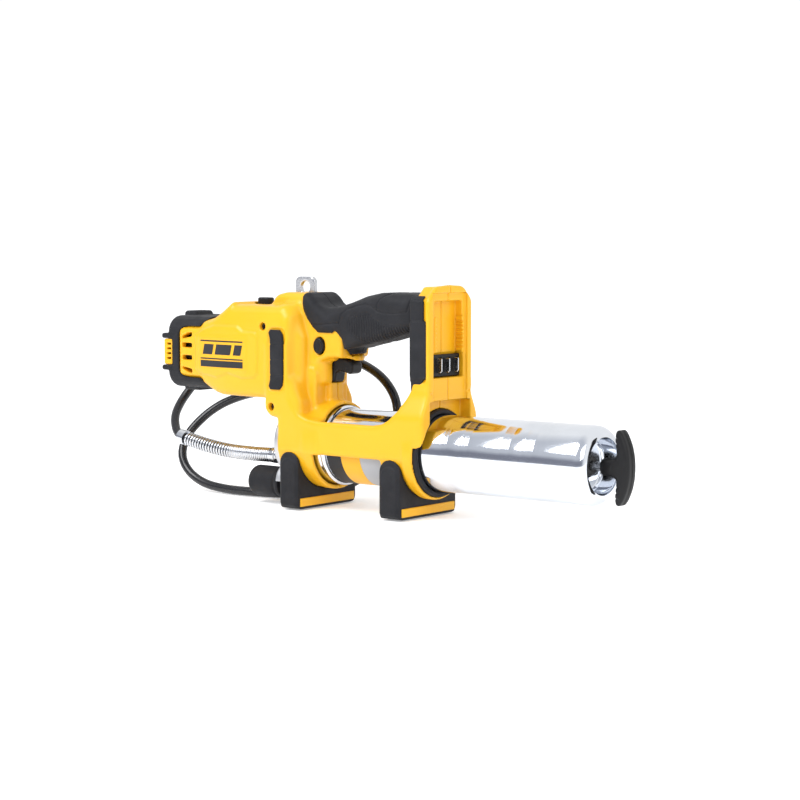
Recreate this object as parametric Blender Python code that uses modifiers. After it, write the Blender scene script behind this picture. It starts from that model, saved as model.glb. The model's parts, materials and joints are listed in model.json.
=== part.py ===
"""A cordless grease gun, modelled piece by piece in Blender.

Lengths are given in millimetres and multiplied by MM, so the model itself is in metres. +X runs from the
motor to the T-handle, +Z is up, and the tool is symmetric about Y = 0. The origin lies on the floor, under
the middle of the tool's length.
"""

import math

import bmesh
import bpy
from mathutils import Matrix, Vector

MM = 0.001
GAP = 0.3

# The barrel, which takes a 400 g cartridge, and what it runs in
AXIS_Z = 49.0
BARREL_R = 28.5
BARREL_WALL = 1.5
BARREL_FRONT = -72.2
BARREL_REAR = 187.5
SOCKET_REAR = -44.0
RING_SIDES = 40

# The motor and the gear train share one axis above the barrel
DRIVE_Z = 117.0
GEAR_MODULE = 2.5 / 3
SUN_TEETH = 12
PLANET_TEETH = 18
RING_TEETH = SUN_TEETH + 2 * PLANET_TEETH
PLANET_COUNT = 3
CRANK_THROW = 6.0
PLUNGER_X = -86.0
PLUNGER_R = 4.0

# The housing
CHAMFER = 3.0
GEARBOX_HALF = 33.0
COLUMN_HALF = 17.0
SPINE_HALF = 12.0
RAIL_OUTER = 34.0
HEAD_FACE = -88.3
CRADLE_R = 33.5
REAR_RING_R = 35.0
REAR_PLANE = 43.5
BATTERY_FACE = 53.3

# The hose
HOSE_R = 3.6
GUARD_R = 6.0
HOSE_STEP = 14.6

PLANES = {
    "XY": Matrix.Identity(4),
    "XZ": Matrix(((1, 0, 0, 0), (0, 0, -1, 0), (0, 1, 0, 0), (0, 0, 0, 1))),
    "YZ": Matrix(((0, 0, 1, 0), (1, 0, 0, 0), (0, 1, 0, 0), (0, 0, 0, 1))),
}
NORMAL_SIGN = {"XY": 1, "XZ": -1, "YZ": 1}
SPUN_ABOUT = {
    "X": Matrix(((0, 0, 1, 0), (0, 1, 0, 0), (-1, 0, 0, 0), (0, 0, 0, 1))),
    "Y": Matrix(((1, 0, 0, 0), (0, 0, 1, 0), (0, -1, 0, 0), (0, 0, 0, 1))),
    "Z": Matrix.Identity(4),
}


def clear_scene():
    for thing in list(bpy.data.objects):
        bpy.data.objects.remove(thing, do_unlink=True)


def new_collection(name):
    collection = bpy.data.collections.new(name)
    bpy.context.scene.collection.children.link(collection)
    return collection


def place(x, y, z):
    return Matrix.Translation((x * MM, y * MM, z * MM))


# Basic shapes. Each returns a closed mesh object in the cutters' collection; part() makes it a visible part.


def object_of(name, mesh):
    thing = bpy.data.objects.new(name, mesh)
    CUTTERS.objects.link(thing)
    thing.hide_render = True
    thing.display_type = "WIRE"
    return thing


def object_from_bmesh(name, shape):
    bmesh.ops.recalc_face_normals(shape, faces=shape.faces)
    mesh = bpy.data.meshes.new(name)
    shape.to_mesh(mesh)
    shape.free()
    return object_of(name, mesh)


def box(name, xs, ys, zs):
    centre = place(sum(xs) / 2, sum(ys) / 2, sum(zs) / 2)
    size = Matrix.Diagonal(((xs[1] - xs[0]) * MM, (ys[1] - ys[0]) * MM, (zs[1] - zs[0]) * MM, 1))
    shape = bmesh.new()
    bmesh.ops.create_cube(shape, size=1, matrix=centre @ size)
    return object_from_bmesh(name, shape)


def cylinder(name, along, span, centre, radius, sides=RING_SIDES):
    """A cylinder along X, Y or Z over a span; centre holds the other two coordinates in X, Y, Z order."""
    middle = list(centre)
    middle.insert("XYZ".index(along), sum(span) / 2)
    shape = bmesh.new()
    bmesh.ops.create_cone(
        shape,
        cap_ends=True,
        segments=sides,
        radius1=radius * MM,
        radius2=radius * MM,
        depth=(span[1] - span[0]) * MM,
        matrix=place(*middle) @ SPUN_ABOUT[along],
    )
    return object_from_bmesh(name, shape)


def mesh_from(guide, name):
    """The evaluated shape of a curve or of an object with modifiers, as a clean mesh object."""
    bpy.context.view_layer.update()
    evaluated = guide.evaluated_get(bpy.context.evaluated_depsgraph_get())
    mesh = bpy.data.meshes.new_from_object(evaluated)
    shape = bmesh.new()
    shape.from_mesh(mesh)
    bmesh.ops.remove_doubles(shape, verts=shape.verts, dist=0.00001)
    bmesh.ops.recalc_face_normals(shape, faces=shape.faces)
    shape.to_mesh(mesh)
    shape.free()
    mesh.name = name
    thing = object_of(name, mesh)
    thing.matrix_world = guide.matrix_world.copy()
    bpy.data.objects.remove(guide, do_unlink=True)
    return thing


def prism(name, plane, outlines, span):
    """Flat outlines in one plane, the later ones being holes, extruded over a span of the third axis."""
    curve = bpy.data.curves.new(name, "CURVE")
    curve.dimensions = "2D"
    curve.fill_mode = "BOTH"
    curve.extrude = (span[1] - span[0]) / 2 * MM
    for outline in outlines:
        spline = curve.splines.new("POLY")
        spline.points.add(len(outline) - 1)
        spline.use_cyclic_u = True
        for point, (u, v) in zip(spline.points, outline):
            point.co = (u * MM, v * MM, 0, 1)
    guide = bpy.data.objects.new(name, curve)
    CUTTERS.objects.link(guide)
    lift = Matrix.Translation((0, 0, NORMAL_SIGN[plane] * sum(span) / 2 * MM))
    guide.matrix_world = PLANES[plane] @ lift
    return mesh_from(guide, name)


def turned(name, along, centre, profile, sides=RING_SIDES, closed=True):
    """A profile of (place along the axis, radius) pairs, turned about that axis with a Screw modifier.

    A closed profile makes a ring. An open one starts and ends on the axis."""
    mesh = bpy.data.meshes.new(name)
    points = [(radius * MM, 0, distance * MM) for distance, radius in profile]
    edges = [(i, i + 1) for i in range(len(points) - 1)]
    if closed:
        edges.append((len(points) - 1, 0))
    mesh.from_pydata(points, edges, [])
    guide = bpy.data.objects.new(name, mesh)
    CUTTERS.objects.link(guide)
    middle = list(centre)
    middle.insert("XYZ".index(along), 0)
    guide.matrix_world = place(*middle) @ SPUN_ABOUT[along]
    screw = guide.modifiers.new("turn", "SCREW")
    screw.steps = sides
    screw.render_steps = sides
    screw.use_merge_vertices = True
    screw.merge_threshold = 0.00001
    return mesh_from(guide, name)


def smooth_route(points, step):
    """Points at an even spacing along a smooth curve through the given ones."""
    ends = [points[0] * 2 - points[1], *points, points[-1] * 2 - points[-2]]
    fine = [points[0]]
    for a, b, c, d in zip(ends, ends[1:], ends[2:], ends[3:]):
        for i in range(1, 21):
            t = i / 20
            fine.append(
                ((b * 2) + (c - a) * t + (a * 2 - b * 5 + c * 4 - d) * t**2 + (b * 3 - a - c * 3 + d) * t**3) / 2
            )
    lengths = [0.0]
    for a, b in zip(fine, fine[1:]):
        lengths.append(lengths[-1] + (b - a).length)
    count = max(2, round(lengths[-1] / step))
    route = []
    k = 0
    for i in range(count + 1):
        wanted = lengths[-1] * i / count
        while k < len(fine) - 2 and lengths[k + 1] < wanted:
            k += 1
        share = (wanted - lengths[k]) / (lengths[k + 1] - lengths[k])
        route.append(fine[k].lerp(fine[k + 1], share))
    return route


def tube(name, route, radius, resolution=2):
    curve = bpy.data.curves.new(name, "CURVE")
    curve.dimensions = "3D"
    curve.bevel_depth = radius * MM
    curve.bevel_resolution = resolution
    curve.use_fill_caps = True
    spline = curve.splines.new("POLY")
    spline.points.add(len(route) - 1)
    for point, place_mm in zip(spline.points, route):
        point.co = (place_mm.x * MM, place_mm.y * MM, place_mm.z * MM, 1)
    guide = bpy.data.objects.new(name, curve)
    CUTTERS.objects.link(guide)
    return mesh_from(guide, name)


def circle(u, v, radius, sides=32):
    turn = 2 * math.pi / sides
    return [(u + radius * math.cos(turn * i), v + radius * math.sin(turn * i)) for i in range(sides)]


def ellipse(u, v, half_u, half_v, sides=20):
    turn = 2 * math.pi / sides
    return [(u + half_u * math.cos(turn * i), v + half_v * math.sin(turn * i)) for i in range(sides)]


def rectangle(us, vs):
    return [(us[0], vs[0]), (us[1], vs[0]), (us[1], vs[1]), (us[0], vs[1])]


def rounded(us, vs, radius, steps=3):
    """A rectangle with round corners, counter-clockwise."""
    corners = (
        (us[1] - radius, vs[1] - radius, 0),
        (us[0] + radius, vs[1] - radius, 1),
        (us[0] + radius, vs[0] + radius, 2),
        (us[1] - radius, vs[0] + radius, 3),
    )
    outline = []
    for u, v, quarter in corners:
        for i in range(steps + 1):
            angle = math.pi / 2 * (quarter + i / steps)
            outline.append((u + radius * math.cos(angle), v + radius * math.sin(angle)))
    return outline


def grown(outline, gap):
    """The outline pushed outwards by a gap, for a neighbour that has to clear it."""
    area = sum(a[0] * b[1] - b[0] * a[1] for a, b in zip(outline, outline[1:] + outline[:1]))
    turn = 1 if area > 0 else -1
    result = []
    for i, here in enumerate(outline):
        before = Vector(outline[i - 1])
        after = Vector(outline[(i + 1) % len(outline)])
        point = Vector(here)
        first = (point - before).normalized()
        second = (after - point).normalized()
        n1 = Vector((first.y, -first.x)) * turn
        n2 = Vector((second.y, -second.x)) * turn
        push = (n1 + n2) / max(1 + n1.dot(n2), 0.3)
        result.append(tuple(point + push * gap))
    return result


def gear_outline(teeth, phase, tip, root, thickness):
    """A toothed outline about the drive axis in Y and Z. thickness is a tooth's share of the pitch."""
    pitch = 2 * math.pi / teeth
    outline = []
    for i in range(teeth):
        middle = phase + pitch * i
        for radius, share in ((root, -1.25), (tip, -0.5), (tip, 0.5), (root, 1.25)):
            angle = middle + pitch * thickness * share / 2
            outline.append((radius * math.cos(angle), radius * math.sin(angle)))
    return outline


def shifted(outline, du, dv):
    return [(u + du, v + dv) for u, v in outline]


# Joining, cutting and finishing


def combine(target, tools, operation):
    for tool in tools:
        modifier = target.modifiers.new(tool.name, "BOOLEAN")
        modifier.operation = operation
        modifier.object = tool
    return target


def join(target, *tools):
    return combine(target, tools, "UNION")


def cut(target, *tools):
    return combine(target, tools, "DIFFERENCE")


def keep(target, tool):
    return combine(target, [tool], "INTERSECT")


def chamfered(target, width=CHAMFER, segments=1, angle=60):
    bevel = target.modifiers.new("edges", "BEVEL")
    bevel.width = width * MM
    bevel.segments = segments
    bevel.limit_method = "ANGLE"
    bevel.angle_limit = math.radians(angle)
    return target


def part(thing, name, finish):
    """Moves a shape to the object's collection as a named, visible part with its material."""
    CUTTERS.objects.unlink(thing)
    PARTS.objects.link(thing)
    thing.name = name
    thing.data.name = name
    thing.hide_render = False
    thing.display_type = "TEXTURED"
    material = bpy.data.materials.new(name)
    material.use_nodes = True
    shader = material.node_tree.nodes["Principled BSDF"]
    colour, roughness, metallic = FINISHES[finish]
    shader.inputs["Base Color"].default_value = (*colour, 1)
    shader.inputs["Roughness"].default_value = roughness
    shader.inputs["Metallic"].default_value = metallic
    material.diffuse_color = (*colour, 1)
    thing.data.materials.clear()
    thing.data.materials.append(material)
    thing.data.shade_smooth()
    thing.data.set_sharp_from_angle(angle=math.radians(35))
    return thing


def hang_on(axis_name, position, things):
    """Parents moving parts to an empty that stands on their joint's axis, without moving them."""
    empty = bpy.data.objects.new(axis_name, None)
    empty.empty_display_size = 0.01
    empty.matrix_world = place(*position)
    PARTS.objects.link(empty)
    for thing in things:
        world = thing.matrix_world.copy()
        thing.parent = empty
        thing.matrix_parent_inverse = empty.matrix_world.inverted()
        thing.matrix_world = world


FINISHES = {
    "yellow_plastic": ((0.85, 0.47, 0.03), 0.42, 0.0),
    "dark_rubber": ((0.035, 0.037, 0.045), 0.75, 0.0),
    "black_plastic": ((0.02, 0.02, 0.022), 0.45, 0.0),
    "chrome": ((0.82, 0.83, 0.85), 0.12, 1.0),
    "steel": ((0.6, 0.61, 0.62), 0.3, 1.0),
    "die_cast": ((0.66, 0.67, 0.69), 0.4, 1.0),
    "copper": ((0.75, 0.36, 0.2), 0.35, 1.0),
    "graphite": ((0.06, 0.06, 0.065), 0.6, 0.0),
    "zinc": ((0.7, 0.71, 0.73), 0.3, 1.0),
    "hose_rubber": ((0.02, 0.02, 0.022), 0.5, 0.0),
}

GEARBOX_OUTLINE = [
    (-162.2, 91), (-142.5, 84), (-101, 84), (-97.5, 81), (-97.5, 74), (HEAD_FACE, 68), (HEAD_FACE, 49),
    (-62, 49), (-62, 84.7), (-72, 96), (-76, 110), (-76, 150), (-84, 155.3), (-135.6, 155.3), (-137, 157.6),
    (-139.6, 157.4), (-142.5, 155), (-150, 149.6), (-158, 145.2), (-162.2, 143.3),
]  # fmt: skip
HUMP_OUTLINE = [(-108.5, 150), (-107.6, 158), (-104.6, 162), (-99, 164.3), (-92, 165.2), (-74, 164.8), (-74, 150)]
COLUMN_OUTLINE = [
    (-80.3, 60), (-61.6, 60), (-61.4, 113.5), (-38, 115.5), (-36.5, 126), (-36.2, 149), (-57, 149.3),
    (-62, 156), (-80, 158),
]  # fmt: skip
SPINE_OUTLINE = [
    (-60, 134), (-34, 130), (0, 133.8), (20, 139.3), (40, 144), (40, 162), (17, 162.4), (-4, 162),
    (-20, 158.6), (-40, 152.8), (-53, 151.4), (-60, 153),
]  # fmt: skip
GRIP_OUTLINE = [
    (-73.5, 156), (-72.6, 152), (-68, 145.5), (-63, 139.6), (-56, 137.6), (-43.2, 137.2), (-38.6, 131),
    (-36.1, 124), (-35, 119.2), (-31, 119.2), (-28, 121.3), (-20, 124), (-8, 127.5), (3, 130.6), (14.5, 133.7), (26, 136.8),
    (35.2, 139.2), (35.2, 165.4), (17.8, 166.4), (-2.6, 166.2), (-16.2, 163.7), (-30.7, 159.4), (-43.3, 156.3),
    (-53, 155.4), (-57.5, 157), (-61, 160.4), (-65.2, 164), (-69, 165.3), (-72.4, 163.6),
]  # fmt: skip
TRIGGER_OUTLINE = [
    (-57.6, 98.6), (-56.2, 97.3), (-54.6, 97.3), (-53.4, 98.8), (-52.4, 104.2), (-49.5, 106), (-44, 105.2),
    (-39, 103.9), (-36.4, 105.4), (-35.6, 110.8), (-37.6, 114.4), (-46, 116.2), (-54, 117), (-64, 117.2),
    (-68.6, 116.2), (-70, 113), (-68.6, 109.8), (-64, 108.8), (-57.6, 108.2),
]  # fmt: skip
TRIGGER_PIVOT = (-66.0, 113.0)
LOCK_CENTRE = (-59.3, 125.4)
HANDLE_BAR_UPPER = [(211.2, 49), (210.5, 57), (208.6, 65), (205.8, 72), (202.8, 76), (199.8, 74.4), (199.6, 62)]
GUARD_ROUTE = [(-115.3, -6, 37.2), (-138, -4.6, 36.6), (-167, -2, 36.9), (-195, 0, 39.6), (-226, 3, 44.4)]
HOSE_ROUTE = [
    (-228, 3.3, 45), (-236, 7, 50), (-244, 14.5, 60), (-247.5, 26, 71.5), (-244, 37, 85),
    (-233, 42.8, 99.5), (-212, 43.8, 114.5), (-184, 43.2, 127.5), (-156, 42.5, 136.5), (-128, 42, 139.5),
    (-113.6, 42, 135.7), (-103.1, 42, 125.2), (-99.3, 42, 110.8), (-103.1, 42.6, 96.4), (-113.6, 43.6, 85.9),
    (-128, 44.4, 81.9), (-152, 45.4, 81.2), (-178, 46, 80.5), (-199, 44.3, 75.8), (-216, 38.5, 68.3),
    (-227.5, 29.5, 57.5),
    (-234, 18.5, 43.5), (-233, 11, 28.5), (-223.5, 8.6, 15.8), (-206, 8, 7.4), (-182, 8, 4.1),
    (-152, 8.7, 3.9), (-124, 16, 3.9), (-101, 32.5, 4.9), (-80, 45.5, 12.5), (-60, 48.8, 27),
    (-43.5, 50.2, 46.5), (-37, 50, 64), (-38.8, 50, 81.5), (-50, 50, 96), (-67, 50.4, 105.5),
    (-88, 52.2, 110.3), (-113, 52.6, 110.2), (-136, 50.7, 106.7), (-151.5, 49.3, 103.4),
]  # fmt: skip
COUPLER_FROM = (-151.9, 49.3, 103.3)
COUPLER_TO = (-212.3, 43.8, 90.5)
HOUSING_SCREWS = {"upper": (-101.5, 139.6, 10.0), "lower": (-93.9, 78.2, -6.0)}


def arch(name, xs, radius, lowest):
    """A slice of a cylinder about the barrel's axis, flat at its lowest height."""
    round_part = cylinder(name, "X", xs, (0, AXIS_Z), radius)
    return keep(round_part, box(name + "_above", (xs[0] - 1, xs[1] + 1), (-40, 40), (lowest, 90)))


def housing_solid():
    """The outside of both housing halves as one solid."""
    motor = prism("motor_outer", "YZ", [rounded((-28, 28), (91.2, 143.3), 11)], (-203.9, -118))
    panels = prism("panel_outer", "YZ", [rounded((-30.6, 30.6), (97.3, 136.7), 4, 1)], (-195.2, -118))
    gearbox = prism("gearbox_outer", "XZ", [GEARBOX_OUTLINE], (-GEARBOX_HALF, GEARBOX_HALF))
    hump = prism("hump_outer", "XZ", [HUMP_OUTLINE], (-17.4, 17.4))
    column = prism("column_outer", "XZ", [COLUMN_OUTLINE], (-COLUMN_HALF, COLUMN_HALF))
    back = prism("column_back", "XY", [rounded((-78, -54.8), (-16.8, 16.8), 10, 4)], (95.3, 117))
    web = prism("column_web", "XZ", [[(-72, 76), (-55.4, 76), (-55.4, 96.4), (-72, 99)]], (-8, 8))
    spine = prism("spine_outer", "XZ", [SPINE_OUTLINE], (-SPINE_HALF, SPINE_HALF))
    core = [(-23.7, 84), (23.7, 84), (23.7, 162.5), (14.5, 172.3), (-14.5, 172.3), (-23.7, 162.5)]
    flange = [(-26.5, 92.7), (26.5, 92.7), (26.5, 162), (16, 172.6), (-16, 172.6), (-26.5, 162)]
    flare = [(-33.5, 58), (33.5, 58), (33.5, 78), (31.5, 87), (26.8, 94), (-26.8, 94), (-31.5, 87), (-33.5, 78)]
    rear_column = prism("rear_column", "YZ", [core], (38.6, 51.5))
    rear_flange = prism("rear_flange", "YZ", [flange], (50.9, BATTERY_FACE))
    rear_flare = prism("rear_flare", "YZ", [flare], (29, BATTERY_FACE - 0.05))
    return join(
        motor,
        panels,
        gearbox,
        hump,
        column,
        back,
        web,
        spine,
        rear_column,
        rear_flange,
        rear_flare,
        prism("lip", "XY", [rounded((-62, -31.5), (-12, 12), 11.6, 6)], (113.6, 118.8)),
        cylinder("front_cradle", "X", (HEAD_FACE + 0.2, -53.5), (0, AXIS_Z), CRADLE_R),
        arch("front_arch", (-62.5, -48), CRADLE_R + 0.2, 44.4),
        cylinder("rear_cradle", "X", (12, 34), (0, AXIS_Z), 33),
        cylinder("rear_ring", "X", (33.5, REAR_PLANE), (0, AXIS_Z), REAR_RING_R),
        box("rails", (-64, 31), (-RAIL_OUTER, RAIL_OUTER), (44, 69.6)),
    )


def housing_hollows():
    """Everything that is cut out of the housing, left and right alike."""
    return [
        cylinder("motor_bay", "X", (-202.5, -146), (0, DRIVE_Z), 25.2),
        cylinder("gear_bay", "X", (-146.2, -101.8), (0, DRIVE_Z), 26.8),
        box("air_inlet", (-206, -202), (-17, 17), (106, 122)),
        box("yoke_bay", (-102.2, -78), (-16.5, 16.5), (76, 137)),
        cylinder("head_bay", "X", (-98.5, -71.5), (0, AXIS_Z), 28.0),
        box("head_boss_bay", (-101, -75.5), (-13.5, 13.5), (60, 86)),
        cylinder("socket_bay", "X", (-72.8, -10), (0, AXIS_Z), 31.0),
        box("window", (-47, 28.9), (-31, 31), (30, 83)),
        cylinder("rear_bore", "X", (10, 60), (0, AXIS_Z), 29.2),
        cylinder("grommet_seat", "X", (36, 45), (0, AXIS_Z), 33.0),
        cylinder("rear_clearance", "X", (REAR_PLANE, 60), (0, AXIS_Z), 33.4),
        box("rear_notch", (REAR_PLANE, 60), (-24.5, 24.5), (40, 88.5)),
        box("switch_bay", (-68, -39), (-9, 9), (123, 147)),
        box("trigger_pivot_bay", (-71, -59), (-7, 7), (104, 121)),
        box("trigger_bay", (-59.3, -34.5), (-7, 7), (96.8, 121.1)),
        box("terminal_bay", (44, 60), (-18.5, 18.5), (105.5, 122.8)),
        box("battery_bay", (46, 60), (-15.7, 15.7), (122.6, 161)),
        box("light_pocket", (-136.6, -121.4), (-5.3, 5.3), (150, 170)),
        box("eyelet_slot", (-95.6, -77.4), (-2.3, 2.3), (152, 170)),
        cylinder("trigger_pin_hole", "Y", (-16.2, 16.2), TRIGGER_PIVOT, 1.6, 16),
        prism("lock_hole", "XZ", [ellipse(*LOCK_CENTRE, 5.4, 6.6)], (-20, 20)),
    ]


def screw_holes():
    holes = []
    for name, (x, z, end) in HOUSING_SCREWS.items():
        holes.append(cylinder(name + "_head_hole", "Y", (-34, -26.8), (x, z), 3.6, 16))
        holes.append(cylinder(name + "_shank_hole", "Y", (-28, end + 1.5), (x, z), 2.1, 16))
    return holes


def vent_slots(side):
    """Four slots in the yellow panel, in line with the motor's brushes."""
    slots = []
    for i, height in enumerate((131.0, 122.0, 112.5, 103.0)):
        low, high = sorted((side * 20.0, side * 32.0))
        slots.append(box(f"vent_{side}_{i}", (-191.5, -181.5), (low, high), (height - 1.5, height + 1.5)))
    return slots


def make_housing():
    whole = cut(housing_solid(), *housing_hollows(), *screw_holes())
    whole = mesh_from(whole, "housing_whole")
    for side, name in ((-1, "housing_left"), (1, "housing_right")):
        low, high = sorted((side * GAP / 2, side * 40))
        half = keep(box(name, (-230, 70), (low, high), (-5, 180)), whole)
        cut(half, *vent_slots(side))
        part(half, name, "yellow_plastic")


def make_motor_bumper():
    outer = prism("bumper_outer", "YZ", [rounded((-31, 31), (88, 146.5), 13)], (-208.5, -162.5))
    chamfered(outer, 2.5)
    join(outer, box("bumper_top_pad", (-213.5, -188.5), (-9, 9), (143, 147.8)))
    join(outer, box("bumper_low_pad", (-213.5, -188.5), (-9, 9), (83.5, 92)))
    for i, (low, high) in enumerate(((98, 103.6), (124, 129.6))):
        join(outer, box(f"bumper_bracket_{i}", (-214.5, -206), (-28.8, 28.8), (low, high)))
    cut(
        outer,
        prism("bumper_inner", "YZ", [rounded((-28.4, 28.4), (90.8, 143.7), 11)], (-204.3, -160)),
        box("bumper_front", (-215, -200), (-27.4, 27.4), (104, 123.6)),
        box("bumper_side", (-195.6, -160), (-35, 35), (96.9, 137.1)),
    )
    part(outer, "motor_bumper", "dark_rubber")
    slots = [rectangle((-20, 20), (106.2 + 4.4 * i, 108.2 + 4.4 * i)) for i in range(4)]
    grille = prism("nose_grille", "YZ", [rectangle((-27, 27), (104.4, 123.2)), *slots], (-212, -206.5))
    part(grille, "nose_grille", "yellow_plastic")


def make_grip():
    """Soft grip on the handle and on the front of the battery column, one moulding on each half."""
    core = [(-24, 80), (24, 80), (24, 162.6), (14.6, 172.6), (-14.6, 172.6), (-24, 162.6)]
    for side, name in ((-1, "grip_left"), (1, "grip_right")):
        low, high = sorted((side * GAP / 2, side * 19.0))
        grip = chamfered(prism(name, "XZ", [GRIP_OUTLINE], (low, high)), 2.0)
        pad = [(GAP / 2, 94.6), (27, 94.6), (27, 162.9), (24.6, 166), (GAP / 2, 166)]
        pad = [(side * y, z) for y, z in pad]
        join(grip, prism(name + "_pad", "YZ", [pad], (34.8, 50.6)))
        low, high = sorted((side * GAP / 2 - side * 2, side * (COLUMN_HALF + GAP)))
        cut(grip, prism(name + "_column", "XZ", [grown(COLUMN_OUTLINE, GAP)], (low, high)))
        low, high = sorted((side * GAP / 2 - side * 2, side * (SPINE_HALF + GAP)))
        cut(grip, prism(name + "_spine", "XZ", [grown(SPINE_OUTLINE, GAP)], (low, high)))
        cut(grip, prism(name + "_core", "YZ", [core], (38.3, 60)))
        cut(grip, box(name + "_hump", (-115, -73.7), (-20, 20), (148, 170)))
        part(grip, name, "dark_rubber")


def make_side_pads():
    for side, name in ((-1, "side_pad_left"), (1, "side_pad_right")):
        low, high = sorted((side * (GEARBOX_HALF + GAP), side * (GEARBOX_HALF + 1.9)))
        pad = prism(name, "XZ", [rounded((-95.5, -82), (92, 137), 3)], (low, high))
        part(pad, name, "dark_rubber")


def make_feet():
    for name, xs, ring in (("front_foot", (-85.5, -65.5), CRADLE_R), ("rear_foot", (12.3, 33.2), 33.0)):
        outline = [
            (-34.8, 5), (-33.3, 1.5), (-30, 0), (30, 0), (33.3, 1.5), (34.8, 5), (34.8, 43.7), (-34.8, 43.7),
        ]  # fmt: skip
        foot = prism(name, "YZ", [outline], xs)
        cut(foot, cylinder(name + "_seat", "X", (xs[0] - 1, xs[1] + 1), (0, AXIS_Z), ring + GAP))
        part(foot, name, "dark_rubber")


def make_barrel():
    inner = BARREL_R - BARREL_WALL
    profile = [
        (BARREL_FRONT, BARREL_R), (179.5, BARREL_R), (184, 27.4), (186.8, 25), (BARREL_REAR, 22.8), (186.4, 21.8),
        (177, 19.5), (172.3, 9.5), (172.3, 3.6), (170.5, 3.6), (170.5, 10.5), (175.3, 20.4), (179, 25.6),
        (176.5, inner), (BARREL_FRONT, inner),
    ]  # fmt: skip
    barrel = part(turned("barrel", "X", (0, AXIS_Z), profile), "barrel", "chrome")
    guide = [(172.6, 9), (177.5, 6.5), (177.5, 3.3), (172.6, 3.3)]
    guide = part(turned("rod_guide", "X", (0, AXIS_Z), guide, 24), "rod_guide", "black_plastic")
    hang_on("barrel_axis", (BARREL_FRONT, 0, AXIS_Z), [barrel, guide, make_follower_spring()])
    make_follower()
    grommet = [(36.3, 32.7), (45.5, 32.7), (46.5, 31.7), (46.5, 30.2), (45.5, 29.1), (36.3, 29.1)]
    part(turned("barrel_grommet", "X", (0, AXIS_Z), grommet), "barrel_grommet", "dark_rubber")


def make_follower():
    rod = part(cylinder("follower_rod", "X", (-52.7, 187.2), (0, AXIS_Z), 3.0, 16), "follower_rod", "steel")
    disc = cylinder("follower_disc", "X", (-55, -53), (0, AXIS_Z), 25.2)
    disc = part(disc, "follower_disc", "steel")
    cup_profile = [(-55.3, 0), (-55.3, 25.5), (-52, 25.9), (-52, 26.5), (-58, 26.7), (-59.2, 22), (-59.2, 0)]
    cup = part(
        turned("follower_cup", "X", (0, AXIS_Z), cup_profile, closed=False), "follower_cup", "dark_rubber"
    )
    lower = [(x, 2 * AXIS_Z - z) for x, z in reversed(HANDLE_BAR_UPPER[1:])]
    stem_low = [(199, 42.4), (187.5, 42.4)]
    stem_high = [(187.5, 55.6), (199, 55.6)]
    outline = HANDLE_BAR_UPPER + stem_high[::-1] + stem_low[::-1] + lower
    handle = chamfered(prism("t_handle", "XZ", [outline], (-6.2, 6.2)), 2.2, 2, 40)
    handle = part(handle, "t_handle", "black_plastic")
    hang_on("follower_axis", (-52.7, 0, AXIS_Z), [rod, disc, cup, handle])


def make_follower_spring():
    turns, points_per_turn, radius = 10, 12, 22.0
    first, last = -51.4, 169.0
    route = []
    for i in range(turns * points_per_turn + 1):
        angle = 2 * math.pi * i / points_per_turn
        x = first + (last - first) * i / (turns * points_per_turn)
        route.append(Vector((x, radius * math.cos(angle), AXIS_Z + radius * math.sin(angle))))
    return part(tube("follower_spring", route, 1.0, 1), "follower_spring", "steel")


def make_pump():
    socket = [(-72.3, 30.6), (-46, 30.6), (SOCKET_REAR, 29.6), (SOCKET_REAR, 28.8), (-72.3, 28.8)]
    part(turned("barrel_socket", "X", (0, AXIS_Z), socket), "barrel_socket", "chrome")
    head = cylinder("pump_head", "X", (-98, -72.6), (0, AXIS_Z), 27.5)
    chamfered(head, 2.5)
    join(
        head,
        cylinder("head_skirt", "X", (-73, -61), (0, AXIS_Z), 26.6),
        box("head_boss", (-100, -76), (-13, 13), (66, 84.5)),
        cylinder("outlet_boss", "X", (-100, -85), (-6, 37.2), 9.5, 24),
        cylinder("fill_boss", "X", (-100.4, -88.6), (-8, 19), 14.5, 28),
    )
    cut(
        head,
        cylinder("skirt_bore", "X", (-72.6, -60), (0, AXIS_Z), 23),
        cylinder("plunger_bore", "Z", (28, 90), (PLUNGER_X, 0), PLUNGER_R + 0.25, 20),
        cylinder("inlet_bore", "X", (PLUNGER_X, -70), (0, AXIS_Z), 5, 20),
        cylinder("outlet_bore", "X", (-105, PLUNGER_X), (-6, 37.2), 3.5, 20),
        cylinder("head_screw_hole", "Y", (-15, -4.5), HOUSING_SCREWS["lower"][:2], 2.1, 16),
    )
    part(head, "pump_head", "die_cast")
    boot = [
        (-100.7, 0), (-100.7, 12.1), (-126, 12.1), (-130, 10.6), (-132.2, 7.5), (-133, 3.5), (-133, 0),
    ]  # fmt: skip
    boot = turned("fill_port_boot", "X", (-8, 16.8), boot[::-1], 24, closed=False)
    part(boot, "fill_port_boot", "dark_rubber")
    plunger = cylinder("plunger", "Z", (42, 107.6), (PLUNGER_X, 0), PLUNGER_R, 20)
    plunger = part(plunger, "plunger", "steel")
    slot = rectangle((-10.5, 10.5), (DRIVE_Z - 3.4, DRIVE_Z + 3.4))
    block = rectangle((-14, 14), (DRIVE_Z - 9.1, DRIVE_Z + 9.1))
    yoke = part(prism("scotch_yoke", "YZ", [block, slot], (-89, -83)), "scotch_yoke", "steel")
    hang_on("plunger_axis", (PLUNGER_X, 0, AXIS_Z), [plunger, yoke])


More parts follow.
